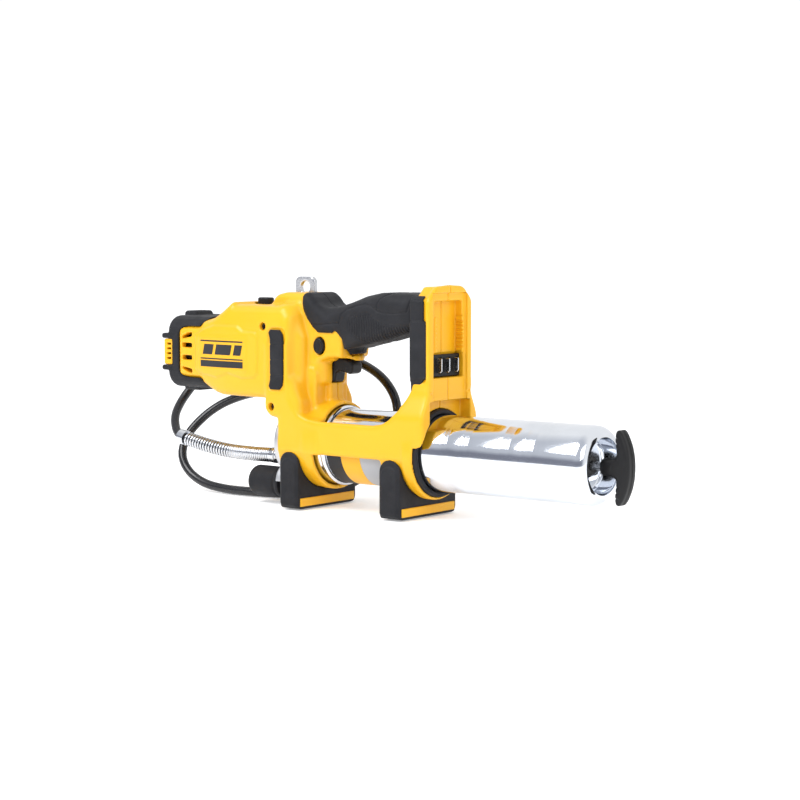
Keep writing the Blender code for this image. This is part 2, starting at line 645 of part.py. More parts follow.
def make_gear_train():
    addendum, dedendum = 0.85 * GEAR_MODULE, 1.15 * GEAR_MODULE
    sun_r = GEAR_MODULE * SUN_TEETH / 2
    planet_r = GEAR_MODULE * PLANET_TEETH / 2
    ring_r = GEAR_MODULE * RING_TEETH / 2
    spacing = sun_r + planet_r
    sun = gear_outline(SUN_TEETH, 0.0, sun_r + addendum, sun_r - dedendum, 0.3)
    sun = prism("sun_gear", "YZ", [shifted(sun, 0, DRIVE_Z), circle(0, DRIVE_Z, 2.7, 16)], (-131.5, -121.7))
    sun = part(sun, "sun_gear", "steel")
    ring_phase = math.pi / RING_TEETH if PLANET_TEETH % 2 == 0 else 0.0
    ring = gear_outline(RING_TEETH, ring_phase, ring_r + dedendum, ring_r - addendum, 0.42)
    ring = [shifted(circle(0, 0, 23.7, 40), 0, DRIVE_Z), shifted(ring, 0, DRIVE_Z)]
    part(prism("ring_gear", "YZ", ring, (-132, -120.5)), "ring_gear", "steel")
    carrier = cylinder("planet_carrier", "X", (-119.6, -115), (0, DRIVE_Z), 18.5, 32)
    for i in range(PLANET_COUNT):
        angle = 2 * math.pi * i / PLANET_COUNT
        y, z = spacing * math.cos(angle), DRIVE_Z + spacing * math.sin(angle)
        teeth_passed = angle * (SUN_TEETH + PLANET_TEETH) / PLANET_TEETH
        phase = math.pi - math.pi / PLANET_TEETH + teeth_passed
        planet = gear_outline(PLANET_TEETH, phase, planet_r + addendum, planet_r - dedendum, 0.3)
        outlines = [shifted(planet, y, z), circle(y, z, 2.5, 16)]
        name = f"planet_gear_{i + 1}"
        planet = part(prism(name, "YZ", outlines, (-131, -120)), name, "steel")
        hang_on(name + "_axis", (-125, y, z), [planet])
        join(carrier, cylinder(f"planet_pin_{i}", "X", (-132, -117), (y, z), 2.2, 12))
    carrier = part(carrier, "planet_carrier", "steel")
    crank = cylinder("crank", "X", (-114.7, -95), (0, DRIVE_Z), 5.0, 24)
    join(
        crank,
        cylinder("crank_disc", "X", (-97, -92.5), (0, DRIVE_Z), 10.0, 28),
        cylinder("crank_pin", "X", (-93, -89.4), (CRANK_THROW, DRIVE_Z), 3.0, 16),
    )
    crank = part(crank, "crank", "steel")
    hang_on("output_axis", (-105, 0, DRIVE_Z), [carrier, crank])
    case = [
        (-134, 26.3), (-117, 26.3), (-111, 16), (-104.6, 16), (-104.6, 9.5), (-112.4, 9.5), (-112.4, 6.5),
        (-114.4, 6.5), (-114.4, 20), (-117, 24), (-134, 24),
    ]  # fmt: skip
    part(turned("gear_case", "X", (0, DRIVE_Z), case), "gear_case", "die_cast")
    bearing = [(-112.1, 9.2), (-105, 9.2), (-105, 5.4), (-112.1, 5.4)]
    part(turned("output_bearing", "X", (0, DRIVE_Z), bearing, 24), "output_bearing", "steel")
    return sun


def fan_outline():
    blades = 9
    outline = []
    for i in range(blades):
        angle = 2 * math.pi * i / blades
        for radius, turn in ((8, 0.0), (21, 0.22), (21, 0.34), (8, 0.2)):
            outline.append((radius * math.cos(angle + turn), DRIVE_Z + radius * math.sin(angle + turn)))
    return outline


def make_motor(sun):
    can = [(-186, 24.8), (-149, 24.8), (-149, 22), (-186, 22)]
    part(turned("motor_can", "X", (0, DRIVE_Z), can), "motor_can", "steel")
    shaft = part(cylinder("motor_shaft", "X", (-201, -121), (0, DRIVE_Z), 2.5, 16), "motor_shaft", "steel")
    core = [
        (-197, 8), (-188.6, 8), (-188.6, 5), (-182, 5), (-182, 17.5), (-150, 17.5), (-150, 2.8), (-197, 2.8),
    ]  # fmt: skip
    core = part(turned("armature", "X", (0, DRIVE_Z), core, 32), "armature", "copper")
    fan = prism("cooling_fan", "YZ", [fan_outline(), circle(0, DRIVE_Z, 2.8, 16)], (-147.6, -141))
    fan = part(fan, "cooling_fan", "black_plastic")
    hang_on("rotor_axis", (-160, 0, DRIVE_Z), [shaft, core, fan, sun])
    for name, span in (("motor_bearing_front", (-138.8, -134.6)), ("motor_bearing_rear", (-202, -198.4))):
        ring = [(span[0], 8), (span[1], 8), (span[1], 2.9), (span[0], 2.9)]
        part(turned(name, "X", (0, DRIVE_Z), ring, 24), name, "steel")
    plate = [(-139, 26.3), (-134.3, 26.3), (-134.3, 8.4), (-139, 8.4)]
    part(turned("motor_plate", "X", (0, DRIVE_Z), plate), "motor_plate", "die_cast")
    holder = [(-189.8, 24.8), (-187.6, 24.8), (-187.6, 10), (-189.8, 10)]
    part(turned("brush_holder", "X", (0, DRIVE_Z), holder), "brush_holder", "black_plastic")
    for name, sign in (("brush_upper", 1), ("brush_lower", -1)):
        low, high = sorted((DRIVE_Z + sign * 8.4, DRIVE_Z + sign * 16))
        part(box(name, (-196, -190.2), (-2.5, 2.5), (low, high)), name, "graphite")


def make_controls():
    bore = circle(*TRIGGER_PIVOT, 1.75, 16)
    trigger = prism("trigger", "XZ", [TRIGGER_OUTLINE, bore], (-6.5, 6.5))
    trigger = part(trigger, "trigger", "black_plastic")
    hang_on("trigger_axis", (TRIGGER_PIVOT[0], 0, TRIGGER_PIVOT[1]), [trigger])
    pin = cylinder("trigger_pin", "Y", (-16, 16), TRIGGER_PIVOT, 1.5, 16)
    part(pin, "trigger_pin", "steel")
    lock = prism("lock_button", "XZ", [ellipse(*LOCK_CENTRE, 5.0, 6.2)], (-18.6, 18.6))
    lock = part(chamfered(lock, 0.8), "lock_button", "black_plastic")
    hang_on("lock_axis", (LOCK_CENTRE[0], 0, LOCK_CENTRE[1]), [lock])
    part(box("switch_module", (-53.3, -39.4), (-8.6, 8.6), (124.5, 146.5)), "switch_module", "black_plastic")
    light = prism("light_button", "XY", [rounded((-135.8, -122.2), (-4.6, 4.6), 4)], (153, 159.8))
    light = part(chamfered(light, 0.9), "light_button", "black_plastic")
    hang_on("light_axis", (-129.2, 0, 156), [light])


def make_battery_terminals():
    part(box("terminal_block", (44.3, 47.6), (-18.2, 18.2), (105.8, 122.3)), "terminal_block", "black_plastic")
    for i, y in enumerate((-10.0, -0.5, 10.0)):
        name = f"terminal_blade_{i + 1}"
        part(box(name, (47.9, 53), (y - 0.5, y + 0.5), (109, 119.5)), name, "steel")


def make_fasteners():
    plate = rounded((-95.3, -77.7), (153, 177.4), 5)
    eyelet = prism("hang_eyelet", "XZ", [plate, circle(-86.5, 169.3, 4.75, 20)], (-2, 2))
    part(eyelet, "hang_eyelet", "steel")
    for name, (x, z, end) in HOUSING_SCREWS.items():
        profile = [(-31, 0), (-31, 3.2), (-27.2, 3.2), (-27.2, 1.8), (end, 1.8), (end, 0)]
        name = f"housing_screw_{name}"
        part(turned(name, "Y", (x, z), profile, 12, closed=False), name, "steel")


def make_hose():
    fitting = cylinder("hose_fitting", "X", (-114.6, -100.5), (-6, 37.2), 6.4, 20)
    join(fitting, cylinder("fitting_thread", "X", (-102, -91), (-6, 37.2), 3.2, 20))
    part(fitting, "hose_fitting", "zinc")
    guard = smooth_route([Vector(p) for p in GUARD_ROUTE], HOSE_STEP)
    part(tube("hose_guard_spring", guard, GUARD_R, 3), "hose_guard_spring", "zinc")
    route = smooth_route([Vector(p) for p in HOSE_ROUTE], HOSE_STEP)
    part(tube("hose", route, HOSE_R), "hose", "hose_rubber")
    start, end = Vector(COUPLER_FROM), Vector(COUPLER_TO)
    knee = start.lerp(end, 0.36)
    nose = knee + (end - start).normalized() * GAP
    part(tube("coupler_ferrule", [start, knee], 6.2), "coupler_ferrule", "zinc")
    part(tube("coupler", [nose, end], 8.0, 4), "coupler", "zinc")


clear_scene()
PARTS = new_collection("grease_gun")
CUTTERS = new_collection("cutters")
make_housing()
make_motor_bumper()
make_grip()
make_side_pads()
make_feet()
make_barrel()
make_pump()
make_motor(make_gear_train())
make_controls()
make_battery_terminals()
make_fasteners()
make_hose()
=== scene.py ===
"""The looks of a cordless grease gun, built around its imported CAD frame.

Soft-edged mouldings are made as signed distance fields: solids are blended together and cut away on a grid,
and a mesh is drawn round the result. Lengths in that work are millimetres, in the frame's own axes: +X runs
from the motor to the T-handle and +Z is up. h is the distance from the mirror plane, so a field made for h
serves the left side (-Y) and the right side alike.
"""

import json
import math

import bmesh
import bpy
import numpy as np
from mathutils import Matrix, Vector


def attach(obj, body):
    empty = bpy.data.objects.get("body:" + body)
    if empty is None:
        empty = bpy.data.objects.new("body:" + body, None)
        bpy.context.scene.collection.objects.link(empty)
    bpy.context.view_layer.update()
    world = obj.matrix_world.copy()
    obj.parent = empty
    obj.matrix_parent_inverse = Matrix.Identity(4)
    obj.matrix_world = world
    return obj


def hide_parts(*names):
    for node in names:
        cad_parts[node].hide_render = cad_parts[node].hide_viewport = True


MM = 0.001
AXIS_Z = 49.0
DRIVE_Z = 117.0
BARREL_R = 28.5
OUTLET = (-6, 37.2)
FAR = 99.0
VERY_FAR = np.float32(1e9)
THROUGH = 60
PRINT_LIFT = 0.12
DECAL_STEP = 1.2
WRAP_DEGREES = (-25, 115)
LENS_MM, SENSOR_MM = 93.9, 36
CAMERA_PLACE = (0.9761, -1.2200, 0.2139)
CAMERA_TURN, CAMERA_DROP = math.radians(38.5), math.radians(4.68)
FLOOR_GLOW = 0.3

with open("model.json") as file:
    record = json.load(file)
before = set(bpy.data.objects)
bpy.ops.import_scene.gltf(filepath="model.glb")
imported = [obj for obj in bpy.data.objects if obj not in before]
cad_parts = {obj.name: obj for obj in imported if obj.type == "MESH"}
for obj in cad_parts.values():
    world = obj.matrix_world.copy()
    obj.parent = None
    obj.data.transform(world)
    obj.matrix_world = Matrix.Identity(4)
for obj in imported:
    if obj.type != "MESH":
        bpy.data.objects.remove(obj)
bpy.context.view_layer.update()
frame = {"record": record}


# ---------------------------------------------------------------- distance fields


def smoothstep(value, start, end):
    t = np.clip((value - start) / (end - start), 0, 1)
    return t * t * (3 - 2 * t)


def smooth_min(a, b, blend):
    if blend <= 0:
        return np.minimum(a, b)
    t = np.maximum(blend - np.abs(a - b), 0) / blend
    return np.minimum(a, b) - t * t * blend / 4


def smooth_max(a, b, blend):
    return -smooth_min(-a, -b, blend)


def both(across, along, soft=0.0):
    """Inside both of two distances, with a round edge of radius soft where they meet."""
    a = across + soft
    b = along + soft
    return np.hypot(np.maximum(a, 0), np.maximum(b, 0)) + np.minimum(np.maximum(a, b), 0) - soft


def off_stretch(a, b, u, v):
    """How far, squared, points in a plane are from the straight stretch between a and b."""
    eu, ev = b[0] - a[0], b[1] - a[1]
    pu, pv = u - a[0], v - a[1]
    t = np.clip((pu * eu + pv * ev) / (eu * eu + ev * ev), 0, 1)
    return (pu - eu * t) ** 2 + (pv - ev * t) ** 2


def line_distance(route, u, v):
    """Distance in a plane to an open line through the points of a route."""
    nearest = np.full(np.broadcast(u, v).shape, VERY_FAR)
    for a, b in zip(route, route[1:]):
        nearest = np.minimum(nearest, off_stretch(a, b, u, v))
    return np.sqrt(nearest)


def outline_distance(outline, u, v):
    """Signed distance to a closed outline in a plane, negative inside."""
    nearest = line_distance([*outline, outline[0]], u, v)
    inside = np.zeros(nearest.shape, bool)
    for (au, av), (bu, bv) in zip(outline, outline[1:] + outline[:1]):
        if av != bv:
            inside ^= ((av > v) != (bv > v)) & (u < (bu - au) * (v - av) / (bv - av) + au)
    return np.where(inside, -nearest, nearest).astype(np.float32)


def beyond(value, span):
    """How far a coordinate lies outside a span, negative inside it."""
    return np.abs(value - sum(span) / 2) - (span[1] - span[0]) / 2


def slab(outline, half, soft=0.0):
    """An outline in X and Z, carried out to h = half on each side; half may be a function of X and Z."""

    def distance(x, h, z):
        reach = half(x, z) if callable(half) else half
        return both(outline_distance(outline, x, z), np.abs(h) - reach, soft)

    return distance


def tunnel(outline, xs, soft=0.0):
    """An outline in h and Z, carried along X."""
    return lambda x, h, z: both(outline_distance(outline, h, z), beyond(x, xs), soft)


def plate(outline, zs, soft=0.0):
    """An outline in X and h, carried along Z."""
    return lambda x, h, z: both(outline_distance(outline, x, h), beyond(z, zs), soft)


def rod(along, span, centre, radius, soft=0.0):
    """A cylinder along x, h or z; centre holds the other two coordinates in that order."""

    def distance(x, h, z):
        u, v, length = {"x": (h, z, x), "h": (x, z, h), "z": (x, h, z)}[along]
        return both(np.hypot(u - centre[0], v - centre[1]) - radius, beyond(length, span), soft)

    return distance


def block(xs, hs, zs, soft=0.0):
    """A box with its edges and corners rounded by soft."""

    def distance(x, h, z):
        a, b, c = (beyond(value, span) + soft for value, span in ((x, xs), (h, hs), (z, zs)))
        outside = np.sqrt(np.maximum(a, 0) ** 2 + np.maximum(b, 0) ** 2 + np.maximum(c, 0) ** 2)
        return outside + np.minimum(np.maximum(np.maximum(a, b), c), 0) - soft

    return distance


class Field:
    """A grid of distances, negative inside the solid."""

    def __init__(self, low, high, step):
        self.step = step
        self.low = np.array(low, np.float32)
        counts = [int(math.ceil((b - a) / step)) + 1 for a, b in zip(low, high)]
        runs = [np.arange(n, dtype=np.float32) * np.float32(step) for n in counts]
        spans = [np.float32(a) + run for a, run in zip(low, runs)]
        self.x = spans[0][:, None, None]
        self.h = spans[1][None, :, None]
        self.z = spans[2][None, None, :]
        self.d = np.full(counts, FAR, np.float32)

    def copy(self):
        twin = Field.__new__(Field)
        twin.__dict__.update(self.__dict__)
        twin.d = self.d.copy()
        return twin

    def at(self, solid):
        return solid(self.x, self.h, self.z).astype(np.float32)

    def add(self, solid, blend=0.0):
        self.d = smooth_min(self.d, self.at(solid), blend)

    def cut(self, solid, blend=0.0):
        self.d = smooth_max(self.d, -self.at(solid), blend)

    def keep(self, solid, blend=0.0):
        self.d = smooth_max(self.d, self.at(solid), blend)

    def raise_by(self, solid, height, soft):
        """Lifts the surface where it lies within a solid, fading out over the distance soft."""
        self.d = self.d - height * smoothstep(-self.at(solid), -soft / 2, soft / 2)

    def soften(self, rounds):
        """Rounds every edge a little, inner and outer."""
        for _ in range(rounds):
            for axis in range(3):
                ahead = np.take(self.d, [0, *range(self.d.shape[axis] - 1)], axis)
                behind = np.take(self.d, [*range(1, self.d.shape[axis]), -1], axis)
                self.d = (ahead + 2 * self.d + behind) / 4

    def settled(self, points):
        """Moves points onto the zero surface along its slope."""
        limit = np.array(self.d.shape) - 2
        for _ in range(2):
            place = (points - self.low) / self.step
            cell = np.clip(np.floor(place).astype(int), 0, limit)
            f = (place - cell).astype(np.float32)
            i, j, k = cell.T
            c = {(a, b, e): self.d[i + a, j + b, k + e] for a in (0, 1) for b in (0, 1) for e in (0, 1)}
            fx, fy, fz = f.T
            x0 = [[c[0, b, e] * (1 - fx) + c[1, b, e] * fx for e in (0, 1)] for b in (0, 1)]
            dx = [[c[1, b, e] - c[0, b, e] for e in (0, 1)] for b in (0, 1)]
            y0 = [x0[0][e] * (1 - fy) + x0[1][e] * fy for e in (0, 1)]
            gx = [dx[0][e] * (1 - fy) + dx[1][e] * fy for e in (0, 1)]
            gy = [x0[1][e] - x0[0][e] for e in (0, 1)]
            value = y0[0] * (1 - fz) + y0[1] * fz
            slope = np.stack(
                [gx[0] * (1 - fz) + gx[1] * fz, gy[0] * (1 - fz) + gy[1] * fz, y0[1] - y0[0]], 1
            ) / self.step
            size = np.maximum((slope**2).sum(1), 0.2)
            step = np.clip(value / size, -self.step / 2, self.step / 2)
            points = points - slope * step[:, None]
        return points

    def surface(self):
        """Points and four-sided faces round the solid, one point to each cell that its surface crosses."""
        v = self.d
        inside = v < 0
        shape = [n - 1 for n in v.shape]
        corners = [(a, b, c) for a in (0, 1) for b in (0, 1) for c in (0, 1)]

        def window(array, offset, size=shape):
            return array[tuple(slice(o, o + n) for o, n in zip(offset, size))]

        filled = sum(window(inside, c).astype(np.int8) for c in corners)
        active = (filled > 0) & (filled < 8)
        cells = np.argwhere(active)
        number = np.full(shape, -1, np.int64)
        number[active] = np.arange(len(cells))
        total = np.zeros((len(cells), 3), np.float32)
        count = np.zeros(len(cells), np.float32)
        for axis in range(3):
            for corner in corners:
                if corner[axis]:
                    continue
                ahead = np.array(corner)
                ahead[axis] = 1
                a = v[tuple((cells + corner).T)]
                b = v[tuple((cells + ahead).T)]
                crossing = (a < 0) != (b < 0)
                share = a[crossing] / (a[crossing] - b[crossing])
                spot = np.tile(np.array(corner, np.float32), (len(share), 1))
                spot[:, axis] = share
                total[crossing] += spot
                count[crossing] += 1
        points = self.low + self.step * (cells + total / count[:, None])
        faces = []
        for axis in range(3):
            u, w = [k for k in range(3) if k != axis]
            size = [n - 2 for n in v.shape]
            size[axis] += 1
            start = [1, 1, 1]
            start[axis] = 0
            here, there = window(inside, start, size), window(inside, (1, 1, 1), size)
            for here_in, flip in ((True, False), (False, True)):
                spots = np.argwhere((here == here_in) & (there != here_in)) + start
                ring = []
                for du, dw in ((0, 0), (1, 0), (1, 1), (0, 1)):
                    cell = spots.copy()
                    cell[:, u] -= du
                    cell[:, w] -= dw
                    ring.append(number[tuple(cell.T)])
                quad = np.stack(ring, 1)
                if flip != (axis == 1):
                    quad = quad[:, ::-1]
                faces.append(quad)
        return self.settled(points), np.concatenate(faces)


def mesh_object(name, points, faces, side=1):
    """A mesh from millimetre points; side is -1 for the left, where h counts away from the mirror plane."""
    points = np.array(points, np.float32) * MM
    if side < 0:
        points = points * np.array([1, -1, 1], np.float32)
        faces = faces[:, ::-1]
    mesh = bpy.data.meshes.new(name)
    mesh.vertices.add(len(points))
    mesh.vertices.foreach_set("co", points.ravel())
    mesh.loops.add(faces.size)
    mesh.loops.foreach_set("vertex_index", np.ascontiguousarray(faces).ravel().astype(np.int32))
    mesh.polygons.add(len(faces))
    mesh.polygons.foreach_set("loop_start", np.arange(0, faces.size, 4, dtype=np.int32))
    mesh.update(calc_edges=True)
    mesh.validate()
    mesh.shade_smooth()
    thing = bpy.data.objects.new(name, mesh)
    bpy.context.scene.collection.objects.link(thing)
    return thing


def moulding(name, field, side=1):
    return mesh_object(name, *field.surface(), side)


def fan(centre, radius, start, end, count):
    """Points round an arc, in degrees, for an outline."""
    turns = np.radians(np.linspace(start, end, count))
    return [(centre[0] + radius * math.cos(a), centre[1] + radius * math.sin(a)) for a in turns]


def oval(centre, radii, count, end):
    """Points round an oval, from 0 to end in radians."""
    turns = np.linspace(0, end, count)
    return [(centre[0] + radii[0] * math.cos(t), centre[1] + radii[1] * math.sin(t)) for t in turns]


def rounded(us, vs, radius, count=6):
    corners = ((us[1], vs[1], 0), (us[0], vs[1], 90), (us[0], vs[0], 180), (us[1], vs[0], 270))
    outline = []
    for u, v, start in corners:
        centre = (u - math.copysign(radius, u - us[0] - 1e-6), v - math.copysign(radius, v - vs[0] - 1e-6))
        outline += fan(centre, radius, start, start + 90, count)
    return outline


def rectangle(us, vs):
    return [(us[0], vs[0]), (us[1], vs[0]), (us[1], vs[1]), (us[0], vs[1])]


# ---------------------------------------------------------------- materials


def material(name, colour, roughness, metallic=0.0):
    """A Principled material whose colour, roughness and normal its maker then adds nodes to."""
    new = bpy.data.materials.new(name)
    new.use_nodes = True
    shader = new.node_tree.nodes["Principled BSDF"]
    shader.inputs["Base Color"].default_value = (*colour, 1)
    shader.inputs["Roughness"].default_value = roughness
    shader.inputs["Metallic"].default_value = metallic
    return new, shader


def node(tree, kind, **values):
    new = tree.nodes.new(kind)
    for key, value in values.items():
        if key in new.inputs:
            new.inputs[key].default_value = value
        else:
            setattr(new, key, value)
    return new


def noise(tree, scale, detail=4.0, roughness=0.55):
    place = node(tree, "ShaderNodeTexCoord")
    new = node(tree, "ShaderNodeTexNoise", Scale=scale, Detail=detail, Roughness=roughness)
    tree.links.new(place.outputs["Object"], new.inputs["Vector"])
    return new.outputs["Fac"]


def mapped(tree, value, low, high, start=0.0, end=1.0):
    spans = {"From Min": start, "From Max": end, "To Min": low, "To Max": high}
    new = node(tree, "ShaderNodeMapRange", **spans)
    tree.links.new(value, new.inputs["Value"])
    return new.outputs["Result"]


def blended_colour(tree, share, first, second):
    new = node(tree, "ShaderNodeMix", data_type="RGBA")
    new.inputs[6].default_value = (*first, 1)
    new.inputs[7].default_value = (*second, 1)
    tree.links.new(share, new.inputs["Factor"])
    return new.outputs[2]


def bumped(tree, shader, height, strength, distance):
    new = node(tree, "ShaderNodeBump", Strength=strength, Distance=distance)
    tree.links.new(height, new.inputs["Height"])
    tree.links.new(new.outputs["Normal"], shader.inputs["Normal"])


def maths(tree, operation, first, second):
    """The output of a math node on two sockets, or on a socket and a number."""
    new = node(tree, "ShaderNodeMath", operation=operation)
    tree.links.new(first, new.inputs[0])
    if isinstance(second, float):
        new.inputs[1].default_value = second
    else:
        tree.links.new(second, new.inputs[1])
    return new.outputs[0]


def two_tone(tree, shader, share, first, second):
    tree.links.new(blended_colour(tree, share, first, second), shader.inputs["Base Color"])


def moulded_plastic(name, colour, second, roughness, grain=1400, depth=0.00003, shine=0.25):
    """Spark-eroded plastic: a fine grain, a slow colour drift and slightly polished patches."""
    new, shader = material(name, colour, roughness)
    tree = new.node_tree
    two_tone(tree, shader, mapped(tree, noise(tree, 14), 0, 1, 0.35, 0.7), colour, second)
    shader.inputs["Specular IOR Level"].default_value = shine
    patches = mapped(tree, noise(tree, 45, 5), roughness - 0.07, roughness + 0.08, 0.3, 0.7)
    tree.links.new(patches, shader.inputs["Roughness"])
    broad = maths(tree, "MULTIPLY", noise(tree, 160, 2), 0.25)
    heights = maths(tree, "ADD", noise(tree, grain, 3), broad)
    bumped(tree, shader, heights, 0.35, depth)
    return new


def soft_rubber(name, colour, second, grain=1800):
    """An overmoulded elastomer: matte, with a stipple, dusty highs and a soft sheen."""
    new, shader = material(name, colour, 0.62)
    tree = new.node_tree
    two_tone(tree, shader, mapped(tree, noise(tree, 60, 6, 0.65), 0, 1, 0.4, 0.75), colour, second)
    tree.links.new(mapped(tree, noise(tree, 90, 4), 0.52, 0.74, 0.3, 0.7), shader.inputs["Roughness"])
    shader.inputs["Specular IOR Level"].default_value = 0.25
    shader.inputs["Sheen Weight"].default_value = 0.02
    shader.inputs["Sheen Roughness"].default_value = 0.5
    bumped(tree, shader, noise(tree, grain, 2), 0.5, 0.00004)
    return new


def bright_metal(name, colour, roughness, stretch=(1, 1, 1), wear=0.08, scale=300):
    """Plated or machined metal, with streaks along the stretched axis and a cloudy roughness."""
    new, shader = material(name, colour, roughness, 1.0)
    tree = new.node_tree
    place = node(tree, "ShaderNodeTexCoord")
    turned = node(tree, "ShaderNodeMapping", Scale=stretch)
    streaks = node(tree, "ShaderNodeTexNoise", Scale=scale, Detail=4)
    tree.links.new(place.outputs["Object"], turned.inputs["Vector"])
    tree.links.new(turned.outputs["Vector"], streaks.inputs["Vector"])
    clouds = maths(tree, "MULTIPLY", noise(tree, 35, 5), 0.4)
    cloudy = maths(tree, "ADD", maths(tree, "MULTIPLY", streaks.outputs["Fac"], 0.6), clouds)
    rough = mapped(tree, cloudy, max(0.02, roughness - wear), roughness + wear, 0.3, 0.7)
    tree.links.new(rough, shader.inputs["Roughness"])
    dim = tuple(c * 0.86 for c in colour)
    two_tone(tree, shader, mapped(tree, noise(tree, 22, 5), 0, 1, 0.35, 0.75), colour, dim)
    bumped(tree, shader, streaks.outputs["Fac"], 0.12, 0.00002)
    return new


YELLOW = moulded_plastic("yellow_plastic", (0.84, 0.435, 0.010), (0.80, 0.405, 0.008), 0.36, shine=0.4)
RUBBER = soft_rubber("dark_rubber", (0.0105, 0.011, 0.0135), (0.017, 0.0175, 0.0215))
BLACK = moulded_plastic("black_plastic", (0.006, 0.006, 0.0065), (0.010, 0.010, 0.011), 0.42, 1700)
STEEL = bright_metal("turned_steel", (0.60, 0.61, 0.63), 0.28, (1, 12, 12))
ZINC = bright_metal("plated_zinc", (0.66, 0.68, 0.71), 0.24, (1, 1, 1), 0.1)
DIECAST = bright_metal("die_casting", (0.62, 0.63, 0.65), 0.42, (1, 1, 1), 0.1, 900)
COPPER = bright_metal("copper_winding", (0.72, 0.33, 0.18), 0.35, (1, 30, 30), 0.1)
GRAPHITE = moulded_plastic("graphite", (0.03, 0.03, 0.032), (0.05, 0.05, 0.052), 0.55)
CHROME = bright_metal("chrome_plate", (0.76, 0.79, 0.84), 0.1, (1, 6, 6), 0.03, 120)
BLUED = bright_metal("blued_steel", (0.05, 0.05, 0.055), 0.4, (1, 8, 8))
HOSE = moulded_plastic(
    "hose_cover", (0.008, 0.008, 0.0095), (0.014, 0.014, 0.0165), 0.24, grain=700, depth=0.00005, shine=0.5
)
INK = moulded_plastic("label_ink", (0.02, 0.02, 0.022), (0.03, 0.03, 0.033), 0.45)
SILVER_LABEL = moulded_plastic("label_silver", (0.42, 0.43, 0.45), (0.36, 0.37, 0.39), 0.35)
LOOKS = {
    "yellow_housing": YELLOW,
    "soft_grip": RUBBER,
    "black_plastic": BLACK,
    "chrome_tube": CHROME,
    "turned_steel": STEEL,
    "die_casting": DIECAST,
    "winding": COPPER,
    "carbon": GRAPHITE,
    "plated_fitting": ZINC,
    "hose_cover": HOSE,
}


def finish(thing, look):
    thing.data.materials.clear()
    thing.data.materials.append(look)


def piece(thing, look, body, slot, *replaced):
    """Gives a new piece its material and its body, and hides the CAD nodes it stands for; slot, its slot in
    the record, is not used.
    """
    finish(thing, look)
    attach(thing, body)
    if replaced:
        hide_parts(*replaced)
    return thing


# ---------------------------------------------------------------- the yellow housing

MOTOR_SECTION = rounded((-28, 28), (91.2, 143.3), 11)
PANEL_SECTION = rounded((-30.6, 30.6), (97.3, 136.7), 4)
GEARBOX = [
    (-172, 93), (-165, 89), (-158, 86), (-150, 84.3), (-101, 84), (-97.5, 80), (-97.5, 74), (-88.3, 68),
    (-88.3, 49), (-62, 49), (-66, 84), (-72, 96), (-77, 104), (-77, 148), (-84, 155.4), (-135.4, 155.4),
    (-137, 157.6), (-139.5, 157.4), (-142.5, 155), (-150, 149.6), (-158, 145), (-166, 142), (-172, 141.3),
]  # fmt: skip
HUMP = [(-109.5, 150), (-108.5, 157), (-105.6, 161.6), (-102, 164), (-94, 165.6), (-70, 165), (-70, 150)]
COLUMN = [
    (-80, 60), (-61.6, 60), (-61.4, 113), (-50, 116.2), (-38, 116.2), (-36.5, 126), (-36.2, 143),
    (-57, 143.5), (-66, 152), (-80, 158),
]  # fmt: skip
SPINE = [
    (-60, 134), (-34, 130), (0, 133.8), (20, 139.3), (40, 144), (40, 162), (17, 162.4), (-4, 162),
    (-20, 157.6), (-40, 151.8), (-53, 150.4), (-60, 152),
]  # fmt: skip
SIDE_FRAME = [
    (-88.3, 43.8), (-88.3, 70), (-95, 72), (-100, 77), (-101, 84), (-101, 128), (-79, 128), (-78, 108),
    (-77.5, 95), (-76, 86), (-72, 79), (-66, 74), (-58, 71), (-46, 69.7), (6, 69.7), (14, 71), (20.5, 74.5),
    (26, 80), (31.5, 88), (35.5, 96), (37.2, 103), (53.25, 103), (53.25, 56), (43.5, 52), (43.5, 43.8),
]  # fmt: skip
FLANGE = [
    (-26.5, 96), (26.5, 96), (26.5, 161.5), (24.5, 164.5), (17.5, 171.2), (14, 172.5), (0, 173.4),
    (-14, 172.5), (-17.5, 171.2), (-24.5, 164.5), (-26.5, 161.5),
]  # fmt: skip
SHOULDER = [(-90, 90), (-72, 90), (-69.5, 100), (-69.5, 132), (-75, 146), (-79, 156), (-90, 156)]
COLUMN_BOSS = [(-78, 70), (-61, 70), (-60.9, 104), (-64, 108.8), (-78, 109.2)]
COLUMN_WEB = [(-72, 70), (-55.4, 70), (-55.4, 96), (-72, 99)]
LIP_SCOOP = [(-51, 106), (-50.4, 113), (-48, 115.8), (-44, 116.9), (-37, 116), (-33, 113.8), (-33, 106)]
LOCK_CENTRE = (-59.3, 125.4)
CORE = [(-24.2, 84), (24.2, 84), (24.2, 162.5), (14.5, 172), (-14.5, 172), (-24.2, 162.5)]
RAISED_PANEL = [
    (-176, 104), (-171, 101), (-152, 98.5), (-138, 102), (-124, 99), (-112, 99.5), (-108, 103),
    (-107.5, 130), (-110, 134.5), (-123, 135), (-129, 139), (-155, 139), (-165, 136), (-176, 131.5),
]  # fmt: skip
SCREW_PLACES = ((-103.4, 139.5), (-93.9, 78.2))


def frame_half(x, z):
    """Half the width of the side frame: it narrows where the battery column rises from it."""
    drop = smoothstep(z, 74, 97) * smoothstep(x, 8, 26)
    return 33.9 - 7.4 * drop


def gearbox_half(x, z):
    """Half the width of the gearbox: it tapers towards the motor and falls away at its upper edge."""
    taper = 4.2 * (1 - smoothstep(x, -178, -140))
    return 33.1 - taper - 2.5 * smoothstep(z, 138, 158) - 1.2 * (1 - smoothstep(z, 84, 96)) * (x < -96)


